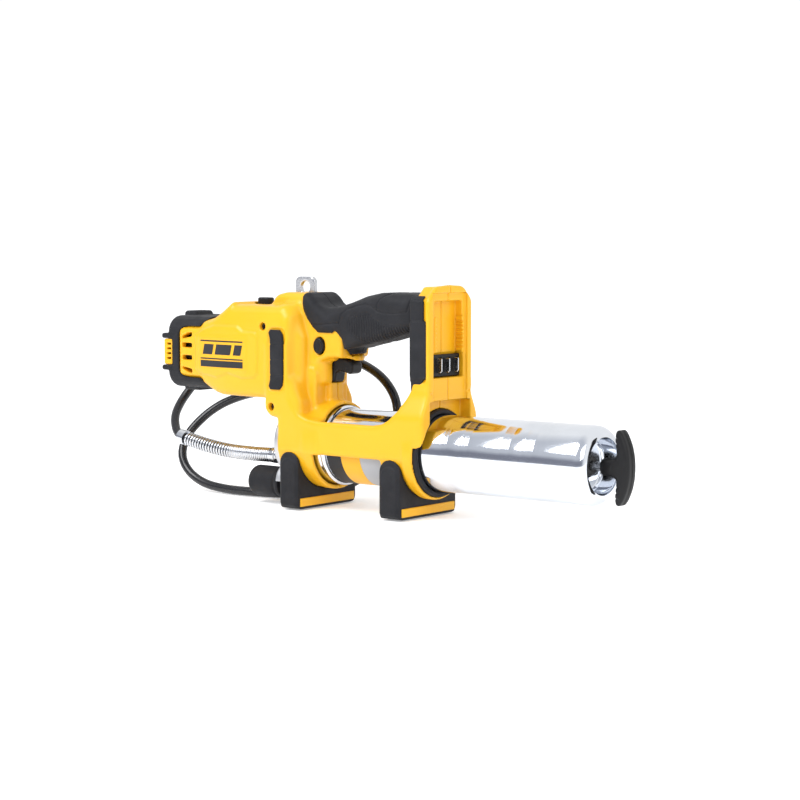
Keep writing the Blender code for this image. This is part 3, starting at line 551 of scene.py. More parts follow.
def outer_housing():
    """The outside of the housing, soft edges and all, before anything is cut out of it."""
    field = Field((-207, -1.8, 13), (55.5, 36.5, 176), 0.9)
    field.add(tunnel(MOTOR_SECTION, (-203.9, -120), 1.5))
    field.add(tunnel(PANEL_SECTION, (-195.2, -120), 2.5), 2)
    field.add(slab(GEARBOX, gearbox_half, 5.5), 5)
    field.add(slab(HUMP, 17.4, 4), 3)
    field.add(slab(SIDE_FRAME, frame_half, 2.6), 2)
    field.add(slab(SHOULDER, 25.5, 6), 7)
    field.add(slab(COLUMN, 17, 2.4), 4)
    field.add(slab(COLUMN_BOSS, 19.2, 1.6), 1.2)
    field.add(plate(rounded((-80, -54.6), (-17, 17), 10.5), (96, 117.5), 2.5), 2.5)
    field.add(slab(COLUMN_WEB, 8, 1.5), 1)
    field.add(plate(rounded((-62, -31.5), (-12, 12), 11.8), (113.6, 118.8), 1.2), 2)
    field.cut(slab(LIP_SCOOP, THROUGH), 0.8)
    field.add(rod("x", (-62.5, -48), (0, AXIS_Z), 33.9, 1.8), 4)
    field.add(slab(SPINE, 12, 1))
    field.add(tunnel(CORE, (38.6, 52), 1))
    field.add(tunnel(FLANGE, (49.6, 53.3), 1.1), 1)
    field.add(rod("x", (-88.2, -53.5), (0, AXIS_Z), 33.5, 1.4), 1.5)
    field.add(rod("x", (11.9, 36), (0, AXIS_Z), 33.2, 1.4), 1.5)
    field.add(rod("x", (33.5, 43.4), (0, AXIS_Z), 35.0, 1.6), 1)
    for x, z in SCREW_PLACES[1:]:
        field.add(rod("h", (0, 32.6), (x, z), 7.4, 2.2), 3)
    field.soften(2)
    field.raise_by(slab(RAISED_PANEL, THROUGH), 1.5, 2.6)
    field.raise_by(slab(rounded((-172, -118), (103, 131), 2.5), THROUGH), 0.5, 1.6)
    field.raise_by(slab(rounded((-97.4, -80.4), (90.2, 138.8), 4.5), THROUGH), -0.9, 1.0)
    return field


def hollow_out(field):
    """The spaces that the works, the barrel and the battery take up."""
    field.cut(rod("x", (-202.5, -146), (0, DRIVE_Z), 25.2))
    field.cut(rod("x", (-146.2, -101.8), (0, DRIVE_Z), 26.8))
    field.cut(block((-207, -202), (-17, 17), (106, 122)))
    field.cut(block((-102.2, -78), (-16.5, 16.5), (76, 137)))
    field.cut(rod("x", (-98.5, -71.5), (0, AXIS_Z), 28.2))
    field.cut(block((-101, -75.5), (-13.5, 13.5), (60, 86)))
    field.cut(rod("x", (-72.8, -10), (0, AXIS_Z), 31.2))
    field.cut(both_sided_window(), 0.8)
    field.cut(rod("x", (10, 60), (0, AXIS_Z), 29.4))
    field.cut(rod("x", (36, 46), (0, AXIS_Z), 33.0))
    field.cut(rod("x", (43.4, 60), (0, AXIS_Z), 33.8))
    field.cut(block((43.4, 60), (-24.5, 24.5), (40, 88.5), 1.0))
    field.cut(block((-68, -39), (-9, 9), (123, 147)))
    field.cut(block((-71, -59), (-7, 7), (104, 121)))
    field.cut(block((-59.3, -34.5), (-7, 7), (96.8, 121)))
    field.cut(block((-136.7, -121.3), (-5.4, 5.4), (150, 170), 2))
    field.cut(block((-97, -76.4), (-2.5, 2.5), (152, 170)))
    field.cut(slab(oval(LOCK_CENTRE, (5.5, 6.7), 24, 6.02), 20))
    battery_face(field)
    return field


def both_sided_window():
    """The opening the barrel shows in: between the side rails, and below them between the cradles."""
    inner = block((-47, 28.9), (-31, 31), (20, 83), 0.5)
    below = block((-53.3, 11.8), (-40, 40), (-10, 43.8), 0.5)
    return lambda x, h, z: np.minimum(inner(x, h, z), below(x, h, z))


def battery_face(field):
    """The recess for the battery's tongue: a shallow wide pocket, a deep channel and ribbed rails."""
    field.cut(block((51.0, 60), (-20.6, 20.6), (80, 167.5), 0.6))
    field.cut(block((44.6, 60), (-16.6, 16.6), (122.6, 161.5), 0.5))
    field.cut(block((44.0, 60), (-18.6, 18.6), (105.3, 123), 0.3))
    field.add(block((46.4, 52.3), (15.0, 17.5), (124, 150), 0.4))
    for i in range(7):
        field.cut(block((44.4, 60), (14.2, 16.4), (126.6 + 3.1 * i, 128.4 + 3.1 * i), 0.3))
    field.cut(block((52.2, 60), (-24, 24), (93.6, 95.4), 0.4))


def vents(field):
    """Four slots in the yellow panel, the outer two cut short by the panel's corners."""
    shapes = [
        [(-192, 127.2), (-181, 129.4), (-181, 132.6), (-186, 132), (-192, 129.2)],
        rounded((-192, -181), (120.4, 124), 0.7, 3),
        rounded((-192, -181), (110.6, 114.2), 0.7, 3),
        [(-192, 105.2), (-192, 103.4), (-186, 100.6), (-181, 100), (-181, 103.4)],
    ]
    for shape in shapes:
        field.cut(slab(shape, 40), 0.3)


def housing_half(side, outside):
    field = hollow_out(outside.copy())
    vents(field)
    if side < 0:
        for (x, z), end in zip(SCREW_PLACES, (11.5, -4.5)):
            field.cut(rod("h", (26.8, 40), (x, z), 3.1, 0), 0.4)
            field.cut(rod("h", (max(end, 0), 30), (x, z), 2.1))
    field.keep(lambda x, h, z: 0.12 - h)
    return field


def make_housing():
    outside = outer_housing()
    for side, name, cad in ((-1, "left_shell", "housing_left"), (1, "right_shell", "housing_right")):
        shell = moulding(name, housing_half(side, outside), side)
        piece(shell, YELLOW, "body", "yellow_housing", cad)


# ---------------------------------------------------------------- rubber overmoulds


BUMPER_SIDE_CUT = [
    (-195.6, 104), (-194.6, 100.5), (-191.5, 97.8), (-187, 96.6), (-173, 96.4), (-163, 87.6), (-163, 80),
    (-150, 80), (-150, 156), (-163, 156), (-163, 147), (-173, 137.4), (-187, 137.2), (-191.5, 136.2),
    (-194.6, 133.6), (-195.6, 130),
]  # fmt: skip


def make_bumper():
    """The rubber nose round the motor, in one piece, with pads above and below and two front ribs."""
    field = Field((-217, -33.5, 81), (-160, 33.5, 150.5), 0.8)
    motor_space = tunnel(rounded((-28.4, 28.4), (90.8, 143.7), 11), (-204.3, -150))
    field.add(tunnel(rounded((-31, 31), (88, 145.2), 13), (-208.5, -162.6), 4.5))
    field.add(block((-209, -195.2), (-10.5, 10.5), (140, 148.6), 2.6), 1.5)
    field.add(block((-210, -191.5), (-10.5, 10.5), (84.6, 94), 2.6), 1.5)
    field.cut(motor_space)
    field.cut(slab(BUMPER_SIDE_CUT, THROUGH), 0.6)
    field.cut(block((-220, -202.4), (-40, 40), (105.8, 127), 1.2), 0.5)
    for low, high in ((101.6, 105.8), (127, 131.2)):
        field.add(block((-213.8, -203), (-31.4, 31.4), (low, high), 1.5), 1.0)
    field.cut(motor_space)
    for height in (84.9, 146.6):
        for k in range(2):
            x = -204.6 + 4.4 * k
            low, high = (height - 3, height) if height < 100 else (height, height + 3)
            field.cut(block((x - 0.5, x + 0.5), (-8, 8), (low + 0.9, high - 0.9), 0.2), 0.3)
    piece(moulding("nose_bumper", field), RUBBER, "body", "soft_grip", "motor_bumper")


def make_grille():
    field = Field((-213.5, -32, 104.5), (-201, 32, 128.5), 0.55)
    field.add(block((-211.6, -202.7), (-30.9, 30.9), (106.1, 126.7), 1.4))
    field.cut(block((-207, -200), (-28.2, 28.2), (90, 145)))
    for height in (111.2, 115, 118.9, 122.7):
        field.cut(block((-208.4, -203.8), (-40, 40), (height - 0.8, height + 0.8), 0.2), 0.2)
    for i in range(4):
        low = 108 + 4.5 * i
        for hs in ((-23.4, -12.4), (-11, -0.7), (0.7, 11), (12.4, 23.4)):
            field.cut(block((-220, -200), hs, (low, low + 2.1), 0.4), 0.2)
    piece(moulding("nose_grille_moulding", field), YELLOW, "body", "yellow_housing", "nose_grille")
    make_inlet_filter()


def make_inlet_filter():
    """A dark mesh mat behind the grille."""
    mat = Field((-208, -28.5, 105.5), (-203.5, 28.5, 127.5), 0.5)
    mat.add(block((-206.8, -204.4), (-27.9, 27.9), (106.4, 126.4), 0.6))
    mat.d = mat.d + (0.25 * np.cos(mat.h * 3) * np.cos(mat.z * 3)).astype(np.float32)
    piece(moulding("inlet_filter", mat), BLACK, "body", "black_plastic")


HANDLE = [
    (-64, 133), (-44, 132.8), (-39.8, 128.4), (-37.6, 122.4), (-35.2, 119.3), (-31, 120), (-28, 123),
    (-20, 125.8), (-8, 128.6), (3, 131.6), (14.5, 135), (26, 138.2), (36.5, 140.6), (36.5, 165.3),
    (17.8, 166.9), (-2.6, 166.7), (-16.2, 164), (-30.7, 159), (-43.3, 155.6), (-53, 154.5), (-64, 154.5),
]  # fmt: skip
HOOD = [
    (-77, 158), (-76.2, 152), (-72, 145), (-66, 138), (-60, 134.5), (-44, 134.5), (-47, 147), (-57, 154),
    (-62.5, 158), (-66, 162), (-70, 165), (-73.4, 165.8), (-76.2, 164),
]  # fmt: skip
RIB_FIELD = [
    (-29, 147), (-26, 149.8), (-21.2, 151.2), (-11.3, 152.2), (-5.1, 148.6), (2.2, 144.6), (14.4, 143.4),
    (27.5, 142.9), (30, 140), (26.5, 135.8), (9.5, 130.6), (-5.1, 128), (-18.8, 129.9), (-27, 136.4),
    (-30, 142),
]  # fmt: skip
THUMB_LINE = [
    (-38.2, 143.4), (-36.5, 149.5), (-31.2, 153.8), (-21, 156.6), (-12.5, 158.2), (-6.3, 156.5),
    (-1.4, 153.2), (5.9, 151.8), (16, 151.9), (26.5, 152.7), (28.3, 157), (29.6, 162), (33.6, 166.5),
]  # fmt: skip
UPPER_PANEL_LINE = [(-1.2, 154), (-1.2, 158), (0.4, 161.8), (4.3, 164.6), (9, 166.4)]
HOOD_LINE = [(-65, 141.4), (-57.2, 141.5), (-38.5, 143.2)]
PAD_SECTION = [(-25.8, 103), (25.8, 103), (25.8, 161.5), (23, 165.5), (-23, 165.5), (-25.8, 161.5)]
CORE_HOLLOW = [(-24.6, 80), (24.6, 80), (24.6, 162.6), (14.6, 172.6), (-14.6, 172.6), (-24.6, 162.6)]
RIB_PITCH = 2.35


def groove(field, route, width, depth):
    """Draws a line into the surface as seen from the side."""
    away = line_distance(route, field.x, field.z)
    field.d = field.d + depth * np.exp(-((away / width) ** 2)).astype(np.float32)


def make_grip():
    """The soft grip: a hood behind the hump, the handle with its ribs, and the battery column's pad."""
    base = Field((-79, -1.6, 90.5), (54, 29, 176), 0.55)
    base.add(slab(HANDLE, 19.2, 9.5))
    base.add(slab(HOOD, 19.8, 6), 2.5)
    base.soften(2)
    nose = plate(rounded((-70, -30.4), (-12.6, 12.6), 12), (90, 145))
    base.keep(lambda x, h, z: smooth_min(nose(x, h, z), 124.8 + 0.2 * (x + 28) - z, 2.5), 1.5)
    base.raise_by(slab(RIB_FIELD, THROUGH), -0.5, 1.6)
    across_ribs = base.x + 0.012 * (base.z - 150) ** 2 + 0.25 * (base.z - 140)
    ribs = 0.5 - 0.5 * np.cos(2 * np.pi * across_ribs / RIB_PITCH)
    inside = smoothstep(-outline_distance(RIB_FIELD, base.x, base.z), 0.2, 1.6)
    base.d = base.d - (0.75 * inside * ribs).astype(np.float32)
    groove(base, THUMB_LINE, 0.75, 0.8)
    groove(base, UPPER_PANEL_LINE, 0.7, 0.7)
    groove(base, HOOD_LINE, 0.8, 0.9)
    base.add(tunnel(PAD_SECTION, (34.8, 47.6), 1.4), 1.2)
    base.add(slab(rounded((35.2, 50.7), (104.5, 147.5), 3), 26.9, 1.5), 0.8)
    base.add(slab([(36.2, 93), (45.3, 92.4), (46.8, 105), (35.6, 105)], 26.2, 1.4), 0.8)
    base.cut(tunnel(CORE_HOLLOW, (38.3, 60)))
    base.cut(slab(COLUMN, 17.3))
    base.cut(slab(SPINE, 12.3))
    base.keep(lambda x, h, z: 0.1 - h)
    for side, name, cad in ((-1, "left_grip", "grip_left"), (1, "right_grip", "grip_right")):
        piece(moulding(name, base, side), RUBBER, "body", "soft_grip", cad)


def make_side_pads():
    """Slim rubber pads let into the gearbox, with lugs above and below and three cross grooves."""
    outline = [
        (-96, 135), (-94.5, 137.4), (-85, 137.4), (-82.2, 134), (-81.4, 128), (-81.4, 101), (-82.2, 95),
        (-85, 91.6), (-94.5, 91.6), (-96, 94), (-94.6, 99), (-94.6, 130),
    ]  # fmt: skip
    field = Field((-98, 31.2, 89.5), (-79.5, 36.6, 139.5), 0.4)
    field.add(slab(outline, 34.7, 1.0))
    field.cut(block((-120, -60), (0, 32.6), (60, 160)))
    for height in (102.8, 114.5, 126.2):
        groove(field, [(-94.8, height), (-81.2, height - 0.3)], 0.5, 0.4)
    for side, end in ((-1, "left"), (1, "right")):
        pad = moulding(f"{end}_side_pad", field, side)
        piece(pad, RUBBER, "body", "soft_grip", f"side_pad_{end}")


def make_foot(name, cad, xs, ring):
    """A rubber foot: a broad block that saddles the cradle, with an arched pad on each side."""
    middle = sum(xs) / 2
    half = (xs[1] - xs[0]) / 2
    arch = [(xs[0], 0), (xs[1], 0), *fan((middle, 45.5 - half), half, 0, 180, 15)]
    section = [(-34.8, 5), (-33.3, 1.5), (-30, 0), (30, 0), (33.3, 1.5), (34.8, 5), (34.8, 60), (-34.8, 60)]
    field = Field((xs[0] - 1.5, -36.5, -1.5), (xs[1] + 1.5, 36.5, 47.5), 0.75)
    field.add(tunnel(section, xs, 1.6))
    field.keep(slab(arch, THROUGH), 3)
    inner = [(xs[0] + 2.6, 3), (xs[1] - 2.6, 3)]
    inner += fan((middle, 42.6 - half), half - 2.6, 0, 180, 13)
    field.raise_by(slab(inner, THROUGH), 0.9, 1.4)
    field.cut(rod("x", (xs[0] - 5, xs[1] + 5), (0, AXIS_Z), ring + 0.25), 0.5)
    field.cut(block((xs[1] - 0.7, xs[1] + 5), (-32.2, 32.2), (2.6, 9.4), 0.3))
    piece(moulding(name, field), RUBBER, "body", "soft_grip", cad)
    strip = Field((xs[1] - 3, -33, 2), (xs[1] + 1.2, 33, 10.5), 0.4)
    strip.add(block((xs[1] - 1.6, xs[1] + 0.1), (-31.9, 31.9), (2.8, 9.2), 0.5))
    piece(moulding(name + "_strip", strip), YELLOW, "body", "yellow_housing")


make_housing()
make_bumper()
make_grille()
make_grip()
make_side_pads()
make_foot("front_foot_rubber", "front_foot", (-85.5, -65.5), 33.5)
make_foot("rear_foot_rubber", "rear_foot", (12.3, 33.2), 33.2)

# ---------------------------------------------------------------- turned pieces


def eased(points, radius, closed=True, steps=4):
    """An outline or profile with each corner replaced by a short curve."""
    result = []
    last = len(points) - 1
    for i, here in enumerate(points):
        if not closed and i in (0, last):
            result.append(here)
            continue
        corner = np.array(here, float)
        before = np.array(points[i - 1], float) - corner
        after = np.array(points[(i + 1) % len(points)], float) - corner
        start = corner + before * min(radius / np.linalg.norm(before), 0.45)
        end = corner + after * min(radius / np.linalg.norm(after), 0.45)
        for k in range(steps + 1):
            t = k / steps
            result.append(tuple(start * (1 - t) ** 2 + corner * 2 * t * (1 - t) + end * t**2))
    return result


def turned(name, profile, centre, axis=(1, 0, 0), sides=96, closed=True, lobes=0, lobe_depth=0.0):
    """A profile of (place, radius) pairs turned about an axis. lobes press a knurl or flutes into it."""
    count = len(profile)
    turns = np.arange(sides) * 2 * np.pi / sides
    rim = np.array(profile)
    points = np.zeros((count, sides, 3))
    pressed = 1 - lobe_depth * (0.5 - 0.5 * np.cos(lobes * turns))
    points[:, :, 0] = rim[:, :1]
    points[:, :, 1] = rim[:, 1:] * np.cos(turns) * pressed
    points[:, :, 2] = rim[:, 1:] * np.sin(turns) * pressed
    swing = Vector((1, 0, 0)).rotation_difference(Vector(axis)).to_matrix()
    points = points.reshape(-1, 3) @ np.array(swing).T + np.array(centre)
    here = np.arange(count if closed else count - 1)[:, None]
    ahead = (here + 1) % count
    spin = np.arange(sides)
    nearby = (spin + 1) % sides
    ring = ((here, spin), (here, nearby), (ahead, nearby), (ahead, spin))
    faces = np.stack([(place * sides + turn).ravel() for place, turn in ring], 1)
    thing = mesh_object(name, points, faces)
    shape = bmesh.new()
    shape.from_mesh(thing.data)
    bmesh.ops.recalc_face_normals(shape, faces=shape.faces)
    shape.to_mesh(thing.data)
    shape.free()
    thing.data.shade_smooth()
    thing.data.set_sharp_from_angle(angle=math.radians(38))
    return thing


def smooth_route(points, step):
    """Points at an even spacing along a smooth curve through the given ones."""
    ends = [points[0] * 2 - points[1], *points, points[-1] * 2 - points[-2]]
    fine = [points[0]]
    for a, b, c, d in zip(ends, ends[1:], ends[2:], ends[3:]):
        for i in range(1, 21):
            t = i / 20
            square = (a * 2 - b * 5 + c * 4 - d) * t**2
            cube = (b * 3 - a - c * 3 + d) * t**3
            fine.append(((b * 2) + (c - a) * t + square + cube) / 2)
    fine = np.array([tuple(p) for p in fine])
    run = np.concatenate([[0], np.cumsum(np.linalg.norm(np.diff(fine, axis=0), axis=1))])
    wanted = np.linspace(0, run[-1], max(2, round(run[-1] / step)) + 1)
    return np.stack([np.interp(wanted, run, fine[:, k]) for k in range(3)], 1)


def wire(name, route, radius, resolution):
    """A round bar along a route in metres, as a curve of one open spline."""
    curve = bpy.data.curves.new(name, "CURVE")
    curve.dimensions = "3D"
    curve.bevel_depth = radius
    curve.bevel_resolution = resolution
    curve.use_fill_caps = True
    spline = curve.splines.new("POLY")
    spline.points.add(len(route) - 1)
    for point, spot in zip(spline.points, route):
        point.co = (*spot, 1)
    spline.use_smooth = True
    thing = bpy.data.objects.new(name, curve)
    bpy.context.scene.collection.objects.link(thing)
    return thing


# ---------------------------------------------------------------- the hose

GUARD_ROUTE = [
    (-0.1153, -0.006, 0.0372), (-0.138, -0.0046, 0.0366), (-0.167, -0.002, 0.0369), (-0.195, 0, 0.0396),
    (-0.226, 0.003, 0.0444),
]  # fmt: skip
HOSE_ROUTE = [
    (-0.228, 0.0033, 0.045), (-0.236, 0.007, 0.05), (-0.244, 0.0145, 0.06), (-0.2475, 0.026, 0.0715),
    (-0.244, 0.037, 0.085), (-0.233, 0.0428, 0.0995), (-0.212, 0.0438, 0.1145), (-0.184, 0.0432, 0.1275),
    (-0.156, 0.0425, 0.1365), (-0.128, 0.042, 0.1395), (-0.1136, 0.042, 0.1357), (-0.1031, 0.042, 0.1252),
    (-0.0993, 0.042, 0.1108), (-0.1031, 0.0426, 0.0964), (-0.1136, 0.0436, 0.0859),
    (-0.128, 0.0444, 0.0819), (-0.152, 0.0454, 0.0812), (-0.178, 0.046, 0.0805), (-0.199, 0.0443, 0.0758),
    (-0.216, 0.0385, 0.0683), (-0.2275, 0.0295, 0.0575), (-0.234, 0.0185, 0.0435), (-0.233, 0.011, 0.0285),
    (-0.2235, 0.0086, 0.0158), (-0.206, 0.008, 0.0074), (-0.182, 0.008, 0.0041), (-0.152, 0.0087, 0.0039),
    (-0.124, 0.016, 0.0039), (-0.101, 0.0325, 0.0049), (-0.08, 0.0455, 0.0125), (-0.06, 0.0488, 0.027),
    (-0.0435, 0.0502, 0.0465), (-0.037, 0.05, 0.064), (-0.0388, 0.05, 0.0815), (-0.05, 0.05, 0.096),
    (-0.067, 0.0504, 0.1055), (-0.088, 0.0522, 0.1103), (-0.113, 0.0526, 0.1102), (-0.136, 0.0507, 0.1067),
    (-0.1515, 0.0493, 0.1034),
]  # fmt: skip
COUPLER_FROM = Vector((-151.9, 49.3, 103.3))
COUPLER_TO = Vector((-212.3, 43.8, 90.5))
HOSE_DIAMETER = 0.0072
SLEEVE_LENGTH = 0.008
WIRE_R = 0.00098


def make_guard(route):
    """The coil over the hose's first stretch, close-wound at the fitting and open towards its end."""
    middle = smooth_route([Vector(p) for p in route], 0.0005)
    run = np.linspace(0, 1, len(middle))
    length = float(np.linalg.norm(np.diff(middle, axis=0), axis=1).sum())
    ahead = np.gradient(middle, axis=0)
    ahead /= np.linalg.norm(ahead, axis=1)[:, None]
    side = np.cross(ahead, (0, 0, 1.0))
    side /= np.linalg.norm(side, axis=1)[:, None]
    up = np.cross(side, ahead)
    coil_end = 1 - SLEEVE_LENGTH / length
    spacing = 0.0021 + 0.0011 * smoothstep(run, 0.38, 0.5)
    turns = np.cumsum(length / len(run) / spacing)
    chosen = np.arange(0, turns[run < coil_end][-1], 1 / 16)
    places = np.interp(chosen, turns, np.arange(len(run)))
    spots = [np.stack([np.interp(places, np.arange(len(run)), part[:, k]) for k in range(3)], 1)
             for part in (middle, side, up)]  # fmt: skip
    angle = 2 * np.pi * chosen[:, None]
    reach = HOSE_DIAMETER / 2 + 0.0003 + WIRE_R
    coil = spots[0] + reach * (np.cos(angle) * spots[1] + np.sin(angle) * spots[2])
    guard = wire("guard_coil", coil, WIRE_R, 2)
    piece(guard, ZINC, "body", "plated_fitting", "hose_guard_spring")
    sleeve = smooth_route([Vector(p) for p in middle[run > coil_end]], 0.001)
    sleeve = piece(wire("guard_end_sleeve", sleeve, 0.0061, 6), ZINC, "body", "plated_fitting")
    return guard, sleeve


def make_fitting():
    """The hose's swivel: a hexagon against the pump head, a groove, and a round ferrule."""
    hexagon = Field((-111.5, -15, 28.5), (-99.5, 3, 46), 0.3)
    hexagon.add(rod("x", (-109.6, -100.5), OUTLET, 7.0, 1.2))
    hexagon.keep(tunnel(fan(OUTLET, 7.1, 12, 312, 6), (-112, -99)), 0.3)
    nut = piece(moulding("fitting_hexagon", hexagon), ZINC, "body", "plated_fitting", "hose_fitting")
    profile = [
        (-117.4, 3.7), (-117.4, 6.1), (-112.2, 6.4), (-111.4, 5.2), (-110.4, 5.2), (-109.4, 6),
        (-109.4, 3.7),
    ]  # fmt: skip
    ferrule = turned("fitting_ferrule", eased(profile, 0.4), (0, *OUTLET), sides=64)
    return nut, piece(ferrule, ZINC, "body", "plated_fitting")


def make_coupler():
    """A crimped ferrule and a four-jaw coupler with a knurled locking sleeve."""
    axis = (COUPLER_TO - COUPLER_FROM).normalized()
    reach = (COUPLER_TO - COUPLER_FROM).length
    knee = reach * 0.36
    crimped = [(0, 3.7), (0, 5.4)]
    for k in range(4):
        x = 2 + 4.2 * k
        crimped += [(x, 6.2), (x + 2.6, 6.2), (x + 3.2, 5.5), (x + 3.8, 5.5)]
    crimped += [(knee - 1, 6.2), (knee, 5.6), (knee, 3.7)]
    ferrule = turned("coupler_crimp", eased(crimped, 0.5), COUPLER_FROM, axis, 64)
    piece(ferrule, ZINC, "body", "plated_fitting", "coupler_ferrule")
    nose = [
        (knee + 0.3, 3), (knee + 0.3, 6.6), (knee + 8, 6.6), (knee + 8.6, 7.8), (knee + 10, 8),
        (reach - 12, 8), (reach - 11, 7.2), (reach - 9, 7.2), (reach - 8, 7.8), (reach - 2.5, 7.8),
        (reach, 6.2), (reach, 3.4), (reach - 9, 3.2),
    ]  # fmt: skip
    body = turned("coupler_sleeve", eased(nose, 0.6), COUPLER_FROM, axis, 144, lobes=24, lobe_depth=0.025)
    return ferrule, piece(body, ZINC, "body", "plated_fitting", "coupler")


def make_hose():
    pieces = [*make_guard(GUARD_ROUTE), *make_fitting(), *make_coupler()]
    route = smooth_route([Vector(p) for p in GUARD_ROUTE + HOSE_ROUTE], 0.004)
    hose = piece(wire("hose_tube", route, HOSE_DIAMETER / 2, 6), HOSE, "body", "hose_cover", "hose")


# ---------------------------------------------------------------- barrel, follower and pump


def make_barrel():
    outer = [(-72.2, BARREL_R)]
    for first, last in ((65.5, 70.4), (82, 88.7), (116.8, 125.5), (136.2, 145.8)):
        for k in range(round((last - first) / 1.2)):
            x = first + 1.2 * k
            outer += [(x, BARREL_R), (x + 0.35, BARREL_R - 0.05), (x + 0.7, BARREL_R)]
    outer += fan((179.5, 20.5), 8, 90, 0, 10)
    dish = [(187.2, 20.7), (186, 20.4), (175.4, 19.5), (173, 18), (172.4, 9.6), (172.3, 3.6)]
    inner = [(170.5, 3.6), (170.5, 19.6), (172.4, 22.6), (177.6, 25.6), (176.5, 27), (-72.2, 27)]
    barrel = turned("barrel_tube", outer + eased(dish, 0.8, False) + inner, (0, 0, AXIS_Z), sides=160)
    piece(barrel, CHROME, "barrel", "chrome_tube", "barrel")
    collar = [(172.6, 9.2), (174, 9.2), (174.6, 7.4), (177.5, 6.5), (177.5, 3.3), (172.6, 3.3)]
    collar = turned("rod_collar", eased(collar, 0.4), (0, 0, AXIS_Z), sides=48)
    piece(collar, BLACK, "barrel", "black_plastic", "rod_guide")
    socket = [
        (-72.3, 28.8), (-72.3, 30.6), (-58, 30.6), (-57, 30.1), (-47.5, 30.1), (-46.6, 30.6), (-45.2, 30.6),
        (-44, 29.6), (-44, 28.8),
    ]  # fmt: skip
    socket = turned("socket_collar", eased(socket, 0.5), (0, 0, AXIS_Z), sides=160)
    piece(socket, CHROME, "body", "chrome_tube", "barrel_socket")
    ring = [(36.3, 29.1), (36.3, 32.7), (45, 32.7), (46.5, 31.9), (46.5, 30), (45.6, 29.1)]
    ring = turned("barrel_ring", eased(ring, 0.8), (0, 0, AXIS_Z), sides=120)
    piece(ring, RUBBER, "body", "soft_grip", "barrel_grommet")


BAR_UPPER = [
    (210.8, 49), (210.3, 57), (208.6, 64.5), (205.6, 71.5), (202.6, 75.8), (199.9, 75), (199, 70.5),
    (199.6, 64), (200.4, 57),
]  # fmt: skip


def make_t_handle():
    """The follower's pull, moulded in one with the stem that grips the rod."""
    upper = [*BAR_UPPER, (196, 55.4), (187.5, 54.6)]
    lower = [(x, 2 * AXIS_Z - z) for x, z in reversed(upper[1:])]
    field = Field((185.5, -1.2, 19.5), (217, 8.5, 78.5), 0.45)
    field.add(slab(eased(upper + lower, 3), 6.3, 3.2))
    field.add(rod("x", (187.5, 197), (0, AXIS_Z), 6.2, 1.2), 1.5)
    for sign in (-1, 1):
        for k in range(3):
            start, end = 13 + 4 * k, 13.4 + 4 * k
            groove(field, [(198, AXIS_Z + sign * start), (202.6, AXIS_Z + sign * end)], 0.5, 0.5)
    halves = [moulding("pull_side", field, side) for side in (-1, 1)]
    pull = halves[0]
    pull.name = "t_pull"
    with bpy.context.temp_override(active_object=pull, selected_editable_objects=halves):
        bpy.ops.object.join()
    piece(pull, BLACK, "follower", "black_plastic", "t_handle")


def make_pump_head():
    """The casting behind the front foot, with its outlet, its filling port and the boot over that."""
    head = Field((-102, -29, 19), (-59, 29, 86), 0.7)
    head.add(rod("x", (-98, -72.6), (0, AXIS_Z), 27.5, 2.4))
    head.add(rod("x", (-73.5, -61), (0, AXIS_Z), 26.6, 0.4))
    head.add(block((-100, -76), (-13, 13), (60, 84.5), 1.5), 2)
    head.add(rod("x", (-100, -85), OUTLET, 9.5, 1.2), 2)
    head.add(rod("x", (-100.4, -88.6), (-8, 19), 14.5, 1.4), 2)
    head.cut(rod("x", (-72.6, -50), (0, AXIS_Z), 23))
    head.cut(rod("z", (28, 90), (-86, 0), 4.3))
    head.cut(rod("x", (-110, -86), OUTLET, 3.5))
    piece(moulding("pump_casting", head), DIECAST, "body", "die_casting", "pump_head")
    cap = [
        (-100.7, 0.05), (-100.7, 12.1), (-103.6, 12.1), (-104.4, 11.3), (-106, 11.3), (-106.8, 12),
        (-129.5, 12.1), (-131.8, 10.9), (-132.8, 8.6), (-133, 5), (-133, 0.05),
    ]  # fmt: skip
    cap = turned("port_boot", eased(cap, 0.9, False), (0, -8, 16.8), sides=64, closed=False)
    piece(cap, RUBBER, "body", "soft_grip", "fill_port_boot")


# ---------------------------------------------------------------- controls and small parts

TRIGGER = [
    (-57.6, 98.6), (-56.2, 97.3), (-54.6, 97.3), (-53.4, 98.8), (-52.4, 104.2), (-49.5, 106), (-44, 105.2),
    (-39, 103.9), (-36.4, 105.4), (-35.6, 110.8), (-37.6, 114.4), (-46, 116.2), (-54, 117), (-64, 117.2),
    (-68.6, 116.2), (-70, 113), (-68.6, 109.8), (-64, 108.8), (-57.6, 108.2),
]  # fmt: skip


def make_controls():
    field = Field((-72, -8, 95.5), (-33.5, 8, 119), 0.4)
    field.add(slab(TRIGGER, 6.4, 1.6))
    field.soften(1)
    for k in range(4):
        groove(field, [(-49 + 2.6 * k, 104), (-48.4 + 2.6 * k, 107.5)], 0.45, 0.5)
    piece(moulding("trigger_lever", field), BLACK, "trigger", "black_plastic", "trigger")
    field = Field((-66, -20.5, 118), (-53, 20.5, 133), 0.45)
    field.add(slab(oval(LOCK_CENTRE, (5.0, 6.2), 30, 6.07), 19.1, 1.4))
    field.raise_by(slab(oval(LOCK_CENTRE, (3.0, 3.72), 30, 6.07), 40), -0.4, 0.8)
    piece(moulding("lock_bolt", field), BLACK, "lock_button", "black_plastic", "lock_button")
    field = Field((-137, -6, 152), (-121, 6, 162), 0.35)
    field.add(plate(rounded((-135.8, -122.2), (-4.6, 4.6), 4.4), (153, 160.5), 1.4))
    for k in range(3):
        field.cut(block((-132.2 + 2.6 * k, -131.4 + 2.6 * k), (-2.6, 2.6), (160, 162), 0.2), 0.3)
    piece(moulding("light_key", field), BLACK, "light_button", "black_plastic", "light_button")


